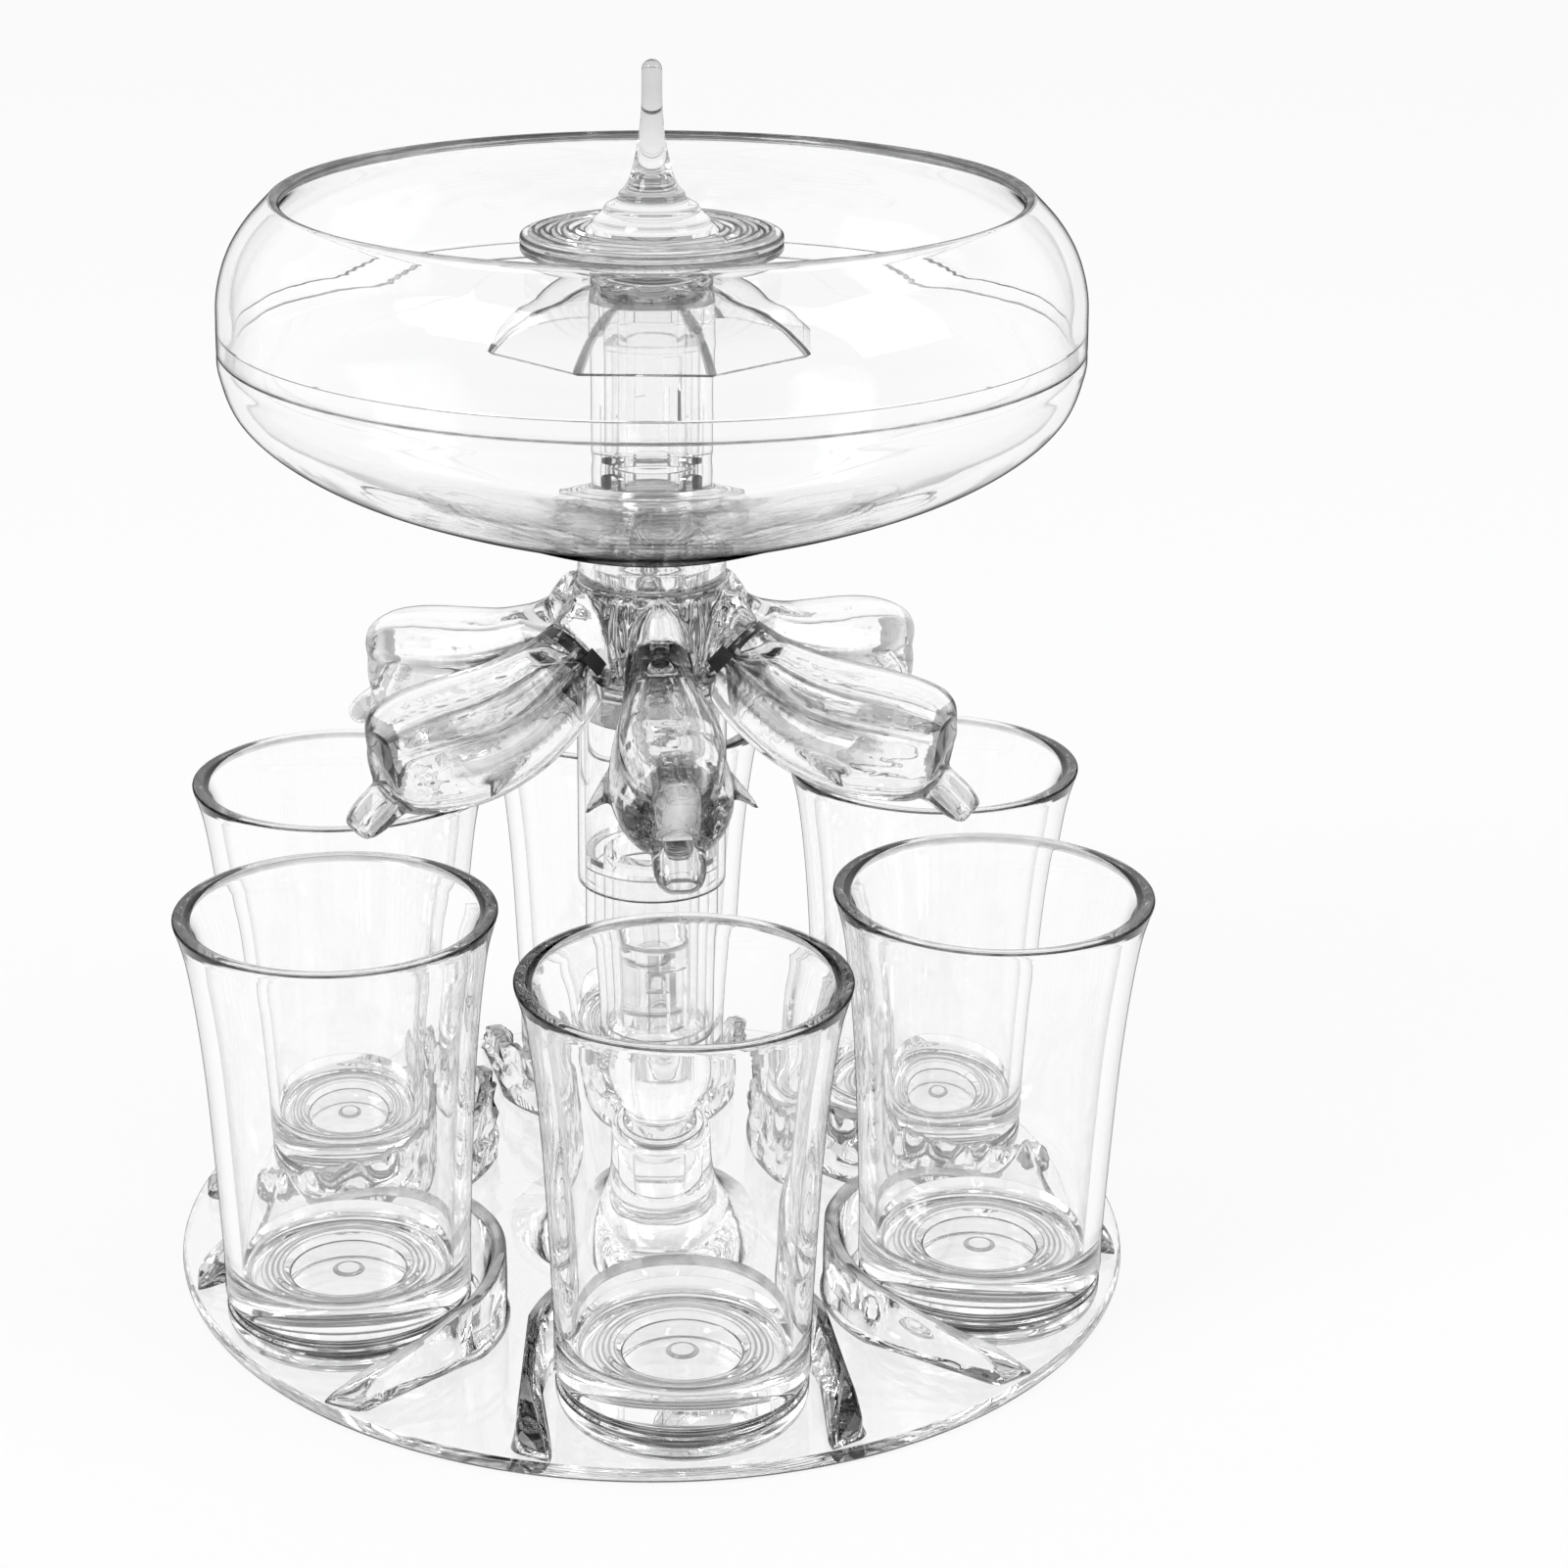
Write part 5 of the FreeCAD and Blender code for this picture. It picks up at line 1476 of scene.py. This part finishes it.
# ---------------------------------------------------------------------------
# Standpipe and press valve
# ---------------------------------------------------------------------------
@dataclass
class Standpipe:
    """Upright pipe with four ports at its foot."""

    material: bpy.types.Material
    r_out: float = 9.47
    r_in: float = 7.4
    low: float = 126.45
    high: float = 158.4
    ledge: float = 134.0
    ports: int = 4
    port_w: float = 3.6
    port_h: float = 5.0
    port_rise: float = 1.2       # height of a port's arch

    def build(self) -> None:
        """Turn the pipe and cut its ports."""
        inner = self.r_in - 0.5
        line = closed_line([(self.r_out, self.high, 0.35), (self.r_in, self.high, 0.35),
                            (self.r_in, self.ledge, 0.1), (inner, self.ledge, 0.15),
                            (inner, self.ledge - 1.4, 0.15),
                            (self.r_in, self.ledge - 1.9, 0.15), (self.r_in, self.low, 0.3),
                            (self.r_out, self.low, 0.3)])
        pipe = lathe("pipe", line)
        w, spring = self.port_w / 2, self.low + self.port_h - self.port_rise
        arch = [(-w, self.low - 1), (w, self.low - 1), (w, spring)]
        arch += [(w * math.cos(t), spring + self.port_rise * math.sin(t))
                 for t in (math.pi * k / 8 for k in range(1, 8))]
        arch.append((-w, spring))
        rings = [[Vector((x, y, z)) for y, z in arch] for x in (4.0, self.r_out + 3)]
        cutters = [turned(loft("port", rings), (index + 0.5) * 360 / self.ports)
                   for index in range(self.ports)]
        pipe = carved(pipe, joined("ports", cutters))
        place("stand_pipe", pipe, self.material, Body.UPPER.value,
              ["standpipe"])


@dataclass
class PressValve:
    """Knob, umbrella, rod and plug, which lift together."""

    material: bpy.types.Material
    seal_material: bpy.types.Material
    rod_r: float = 5.2
    rod_wall: float = 1.3
    rod_low: float = 124.0
    plug_low: float = 119.55
    plug_top: float = 123.95
    plug_r: float = 6.55
    seal_r: float = 6.2          # to the middle of the seal's section
    seal_z: float = 121.4
    seal_half: float = 0.68      # radius of the section
    hub_top: float = 161.0
    hub_low: float = 158.45
    hub_r: float = 9.4
    panels: int = 8
    phase: float = -92.5
    umbrella_r: float = 26.3
    umbrella_drop: float = 8.8
    rib_half: float = 0.75       # half the width of a rib's painted dark line
    sheet: float = 0.9
    rib_line: tuple[Point, ...] = ((0.0, 0.0), (0.301, 0.068), (0.493, 0.182),
                                   (0.644, 0.33), (0.799, 0.534), (0.89, 0.727),
                                   (0.959, 0.886), (1.0, 1.0))
    knob_low: float = 161.05
    disc_low: float = 165.2
    disc_high: float = 168.1
    disc_r: float = 20.1
    ripples: int = 5
    cone_r: float = 10.2
    spike: float = 25.8
    tip_r: float = 1.55
    cone: tuple[Point, ...] = ((0.1395, 0.726), (0.19, 0.559), (0.236, 0.461),
                               (0.283, 0.377), (0.3295, 0.324), (0.415, 0.265),
                               (0.504, 0.221), (0.616, 0.181), (0.733, 0.157))

    def umbrella(self) -> bpy.types.Mesh:
        """Eight panels, flat across, that meet in arched ribs."""
        half = math.pi / self.panels
        top, bore = self.hub_top - 0.5, self.rod_r + 0.05
        ribs = smooth_line(shares_line((bore, top),
                                       (self.umbrella_r, top - self.umbrella_drop),
                                       self.rib_line), 4)
        across = 28
        verts: list[Vector] = []
        grid: list[list[list[int]]] = []
        under = inset_line([(r * math.cos(half), z) for r, z in ribs], -self.sheet)
        for layer in (0, 1):
            rows = []
            for i, (r, z) in enumerate(ribs):
                d = r * math.cos(half)
                if layer:
                    d, z = under[i]
                d = max(d, bore * math.cos(half))
                row = []
                for p in range(self.panels):
                    middle = math.radians(self.phase) + p * 2 * half
                    for k in range(across):
                        y = d * math.tan(half) * (2 * k / across - 1)
                        row.append(len(verts))
                        verts.append(Vector((d * math.cos(middle) - y * math.sin(middle),
                                             d * math.sin(middle) + y * math.cos(middle), z)))
                rows.append(row)
            grid.append(rows)
        pairs = [pair for rows in grid for pair in zip(rows, rows[1:])]
        pairs += [(grid[0][i], grid[1][i]) for i in (0, -1)]
        shell = new_mesh("umbrella", verts, [face for a, b in pairs for face in band(a, b)])
        z0, z1 = self.hub_low, self.hub_top
        ring = closed_line([(bore, z0, 0.2), (self.hub_r - 0.8, z0, 0.3),
                            (self.hub_r, z0 + 0.7, 0.4), (self.hub_r, z1 - 0.5, 0.4),
                            (self.hub_r - 0.7, z1, 0.3), (bore, z1, 0.2)])
        cap = carved(shell, lathe("collar", ring, 96), "UNION")
        # painted shade on the ribs and hem, and from the bends elsewhere
        return paint_turn_shade(cap, 0.5, 2.0, self.shade_ribs)

    def shade_ribs(self, middle: Vector, normal: Vector) -> float | None:
        """Painted shade on the umbrella's ribs, stronger outwards, and on its hem."""
        out = math.hypot(middle.x, middle.y)
        if out < self.hub_r + 0.5:
            return None
        step = 360.0 / self.panels
        azimuth = math.degrees(math.atan2(middle.y, middle.x)) - self.phase - step / 2
        off = math.radians(abs((azimuth + step / 2) % step - step / 2)) * out
        share = (out - self.hub_r) / (self.umbrella_r - self.hub_r)
        if off < self.rib_half:
            return 0.35 + 0.65 * min(1.0, share)
        return 0.7 if abs(normal.z) < 0.3 else 0.0

    def knob(self) -> bpy.types.Mesh:
        """Rippled disc with a two-layered edge, cone and drop-shaped spike."""
        z_boss, low, high = self.knob_low, self.disc_low, self.disc_high
        edge_r, mid = self.disc_r - 1.2, (low + high) / 2
        under = rounded([(0, z_boss), (8.4, z_boss, 0.3), (8.4, z_boss + 0.6, 0.3),
                         (10.6, low - 1.4, 0.5), (10.6, low, 0.3), (13.4, low + 0.25, 0.6),
                         (15.2, low, 0.6), (17.0, low + 0.2, 0.6), (edge_r, low)])
        edge = rounded([(edge_r, low), (self.disc_r, low + 0.1, 0.7),
                        (self.disc_r, mid - 0.15, 0.4), (self.disc_r - 0.6, mid, 0.3),
                        (self.disc_r, mid + 0.15, 0.4), (self.disc_r, high - 0.1, 0.7),
                        (edge_r, high)])
        step = (edge_r - self.cone_r) / self.ripples
        top = []
        for index in range(self.ripples):
            for k in range(8):
                t = k / 8
                top.append((edge_r - (index + t) * step,
                            high + 0.3 * (index + t) / self.ripples
                            + 0.42 * math.sin(math.pi * t) ** 2))
        cone = [(self.cone_r, high + 0.3)]
        cone += [(self.cone_r * b, high + self.spike * a) for a, b in self.cone]
        cone.append((self.tip_r, high + self.spike - self.tip_r))
        spike = []
        for i, (r, z) in enumerate(smooth_line(cone, 6)):
            ring = 0.16 * math.sin((z - high) * 3.4) if z < high + 6.5 and i > 0 else 0.0
            spike.append((r + ring, z))
        tip = [(self.tip_r * math.cos(t), high + self.spike - self.tip_r
                + self.tip_r * math.sin(t)) for t in (math.pi * k / 16 for k in range(1, 8))]
        line = under + edge[1:] + top[1:] + spike + tip + [(0, high + self.spike)]

        def swirl(r: float, z: float, angle: float) -> tuple[float, float]:
            """Uneven ripples, as on disturbed water."""
            if z < high - 0.05 or r < self.cone_r or r > edge_r:
                return 0.0, 0.0
            share = math.sin(math.pi * (r - self.cone_r) / (edge_r - self.cone_r))
            return 0.0, 0.16 * share * (math.sin(3 * angle + 1.3 * r)
                                        + 0.6 * math.sin(5 * angle - 0.9 * r))

        return lathe("knob", line, 192, swirl)

    def rod(self) -> bpy.types.Mesh:
        """Hollow rod with eased ends."""
        return lathe("rod", tube_line(self.rod_r - self.rod_wall, self.rod_r, self.rod_low,
                                      self.hub_top, 0.2), 112)

    def plug(self) -> bpy.types.Mesh:
        """Tapered plug, grooved for its seal."""
        low, top, r = self.plug_low, self.plug_top, self.plug_r
        groove = r - 1.05
        line = rounded([(0, low - 1.4), (4.1, low - 1.4, 0.4), (5.2, low - 0.2, 0.3),
                        (r - 0.15, low + 1.0, 0.2), (groove, low + 1.15, 0.1),
                        (groove, low + 2.55, 0.1), (r, low + 2.7, 0.2),
                        (r, top - 0.8, 0.3), (self.rod_r, top, 0.3), (0, top)])
        return lathe("plug", line, 112)

    def seal(self) -> bpy.types.Mesh:
        """Seal ring in the plug's groove."""
        line = [(self.seal_r + self.seal_half * math.cos(t),
                 self.seal_z + self.seal_half * math.sin(t)) for t in turn(20)]
        return lathe("seal", line, 96)

    def build(self) -> None:
        """Place the valve's pieces."""
        valve = Body.VALVE.value
        for name, mesh, node in (("splash_top", self.knob(), "splash_knob"),
                                 ("umbrella_cap", self.umbrella(), "umbrella"),
                                 ("press_rod", self.rod(), "valve_rod"),
                                 ("press_plug", self.plug(), "valve_plug")):
            place(name, mesh, self.material, valve, [node])
        place("plug_seal", self.seal(), self.seal_material, valve,
              ["valve_seal"])


# ---------------------------------------------------------------------------
# Studio
# ---------------------------------------------------------------------------
@dataclass
class Studio:
    """White sweep, soft lamps and the camera."""

    floor_size: float = 12.0             # m
    floor_gap: float = 0.0001            # m, keeps the floor clear of the tray's underside
    white: float = 1.0
    shadow_share: float = 0.12           # how much of the floor is lit, not glowing
    daylight: Color = (0.85, 0.86, 0.88, 1.0)
    daylight_power: float = 0.75
    overhead: Color = (0.58, 0.585, 0.59, 1.0)    # tone of the sky seen straight above
    lens: float = 73.88                  # mm, on a sensor of 36 mm
    eye: tuple[float, float, float] = (0.0, -0.48717, 0.26277)
    pitch: float = 20.47                 # degrees below the horizon
    shift_x: float = 0.0843
    aim_z: float = 0.1                   # m, height that the lamps point at
    lamp_shape: float = 1.4              # a lamp's height over its width
    bounces: int = 34                    # enough for light to cross all the clear walls
    glossy_bounces: int = 24

    @staticmethod
    def seen_directly(sketch: NodeSketch) -> bpy.types.NodeSocket:
        """Mask that is 1 for camera, glossy and transmission rays."""
        path = sketch.add("ShaderNodeLightPath").outputs
        first = sketch.math("MAXIMUM", path["Is Camera Ray"], path["Is Glossy Ray"])
        return sketch.math("MAXIMUM", first, path["Is Transmission Ray"])

    def floor(self) -> None:
        """Pale floor that reads white and keeps a light shadow."""
        half = self.floor_size / 2
        mesh = bpy.data.meshes.new("floor")
        corners = [(-half, -half, 0), (half, -half, 0), (half, half, 0), (-half, half, 0)]
        mesh.from_pydata(corners, [], [(0, 1, 2, 3)])
        material = bpy.data.materials.new("studio_floor")
        sketch = clean_sketch(material)
        lit = sketch.add("ShaderNodeBsdfDiffuse", {"Color": grey(0.9)})
        glow = sketch.add("ShaderNodeEmission", {"Strength": self.white})
        share = sketch.math("MULTIPLY", self.seen_directly(sketch), 1 - self.shadow_share)
        mix = sketch.add("ShaderNodeMixShader",
                         {0: share, 1: lit.outputs[0], 2: glow.outputs[0]})
        sketch.add("ShaderNodeOutputMaterial", {"Surface": mix.outputs[0]})
        mesh.materials.append(material)
        floor = new_object("floor", mesh)
        floor.location.z = -self.floor_gap

    def world(self) -> None:
        """White surroundings, plain grey as a light source, darker overhead."""
        world = bpy.data.worlds.new("studio")
        bpy.context.scene.world = world
        sketch = clean_sketch(world)
        lit = sketch.add("ShaderNodeBackground", {"Color": self.daylight,
                                                  "Strength": self.daylight_power})
        coord = sketch.add("ShaderNodeTexCoord").outputs["Generated"]
        height = sketch.add("ShaderNodeSeparateXYZ", {0: coord}).outputs["Z"]
        sky = sketch.ramp(height, [(0.42, grey(1.0)), (0.8, self.overhead)])
        seen = sketch.add("ShaderNodeBackground", {"Color": sky, "Strength": self.white})
        mix = sketch.add("ShaderNodeMixShader", {0: self.seen_directly(sketch),
                                                 1: lit.outputs[0], 2: seen.outputs[0]})
        sketch.add("ShaderNodeOutputWorld", {"Surface": mix.outputs[0]})

    def lamp(self, name: str, place_at: Vector, size: float, power: float) -> None:
        """Soft area lamp aimed at the object's middle."""
        light = bpy.data.lights.new(name, "AREA")
        light.shape = "RECTANGLE"
        light.size, light.size_y = size, size * self.lamp_shape
        light.energy = power
        lamp = new_object(name, light)
        lamp.location = place_at
        aim = Vector((0, 0, self.aim_z)) - place_at
        lamp.rotation_euler = aim.to_track_quat("-Z", "Y").to_euler()

    def camera(self) -> None:
        """Camera at the product's usual three-quarter height."""
        data = bpy.data.cameras.new("camera")
        data.lens = self.lens
        data.sensor_width = 36.0
        data.shift_x = self.shift_x
        data.clip_start = 0.01
        camera = new_object("camera", data)
        camera.location = self.eye
        camera.rotation_euler = (math.radians(90 - self.pitch), 0, 0)
        bpy.context.scene.camera = camera

    def build(self) -> None:
        """Set up everything round the object."""
        self.floor()
        self.world()
        self.lamp("key", Vector((-0.9, -0.7, 1.1)), 0.5, 9.0)
        self.lamp("fill", Vector((1.0, -0.4, 0.8)), 0.6, 5.0)
        self.camera()
        scene = bpy.context.scene
        scene.view_settings.view_transform = "Standard"
        scene.cycles.max_bounces = self.bounces
        scene.cycles.transmission_bounces = self.bounces
        scene.cycles.glossy_bounces = self.glossy_bounces


def dress_kept_nodes(material: bpy.types.Material) -> None:
    """Give the frame nodes that stay visible their material."""
    for name in ("lock_sleeve", "rod_guide"):
        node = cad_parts[name]
        node.data.materials.clear()
        node.data.materials.append(material)
        LOG.info("%-18s dressed as it is", name)


def main() -> None:
    """Build the dispenser and its studio."""
    logging.basicConfig(level=logging.INFO, format="%(message)s")
    effects = Effects()
    acrylic = ClearPlastic("clear_acrylic").material(effects)
    moulded = ClearPlastic("moulded_acrylic", face_tone=1.0, steep_shade_start=0.76,
                           steep_shade_full=0.96, steep_shade_tone=0.45, line_shade_tone=0.35).material(effects)
    cup_plastic = ClearPlastic("clear_cup", face_tone=1.0, steep_shade_start=0.86, steep_shade_full=0.98,
                               steep_shade_tone=0.5, line_shade_tone=0.12,
                               line_breakup=0.25).material(effects)
    cast = ClearPlastic("cast_acrylic", face_tone=1.0, grazing_shade_tone=0.15, grazing_shade_start=0.72,
                        steep_shade_start=0.84, steep_shade_tone=0.35, line_shade_tone=0.3, flow_scale=150.0,
                        flow_depth=0.12).material(effects)
    blown = ClearPlastic("bowl_acrylic", face_tone=1.0, grazing_shade_tone=0.55, grazing_shade_start=0.58,
                         steep_shade_start=0.84, steep_shade_tone=0.72, line_shade_tone=0.5).material(effects)
    valve = ClearPlastic("valve_acrylic", face_tone=1.0, grazing_shade_tone=0.4, grazing_shade_start=0.72,
                         steep_shade_start=0.86, steep_shade_tone=0.75, line_shade_tone=0.35,
                         line_breakup=0.2).material(effects)
    silicone = SealRubber("dark_silicone").material(effects)
    BaseMoulding(moulded).build()
    Column(acrylic).build()
    CupSet(cup_plastic).build()
    SpoutSet(cast, silicone).build()
    Hub(cast).build()
    Bowl(blown).build()
    Standpipe(acrylic).build()
    PressValve(valve, silicone).build()
    dress_kept_nodes(acrylic)
    Studio().build()


if __name__ == "__main__":
    main()
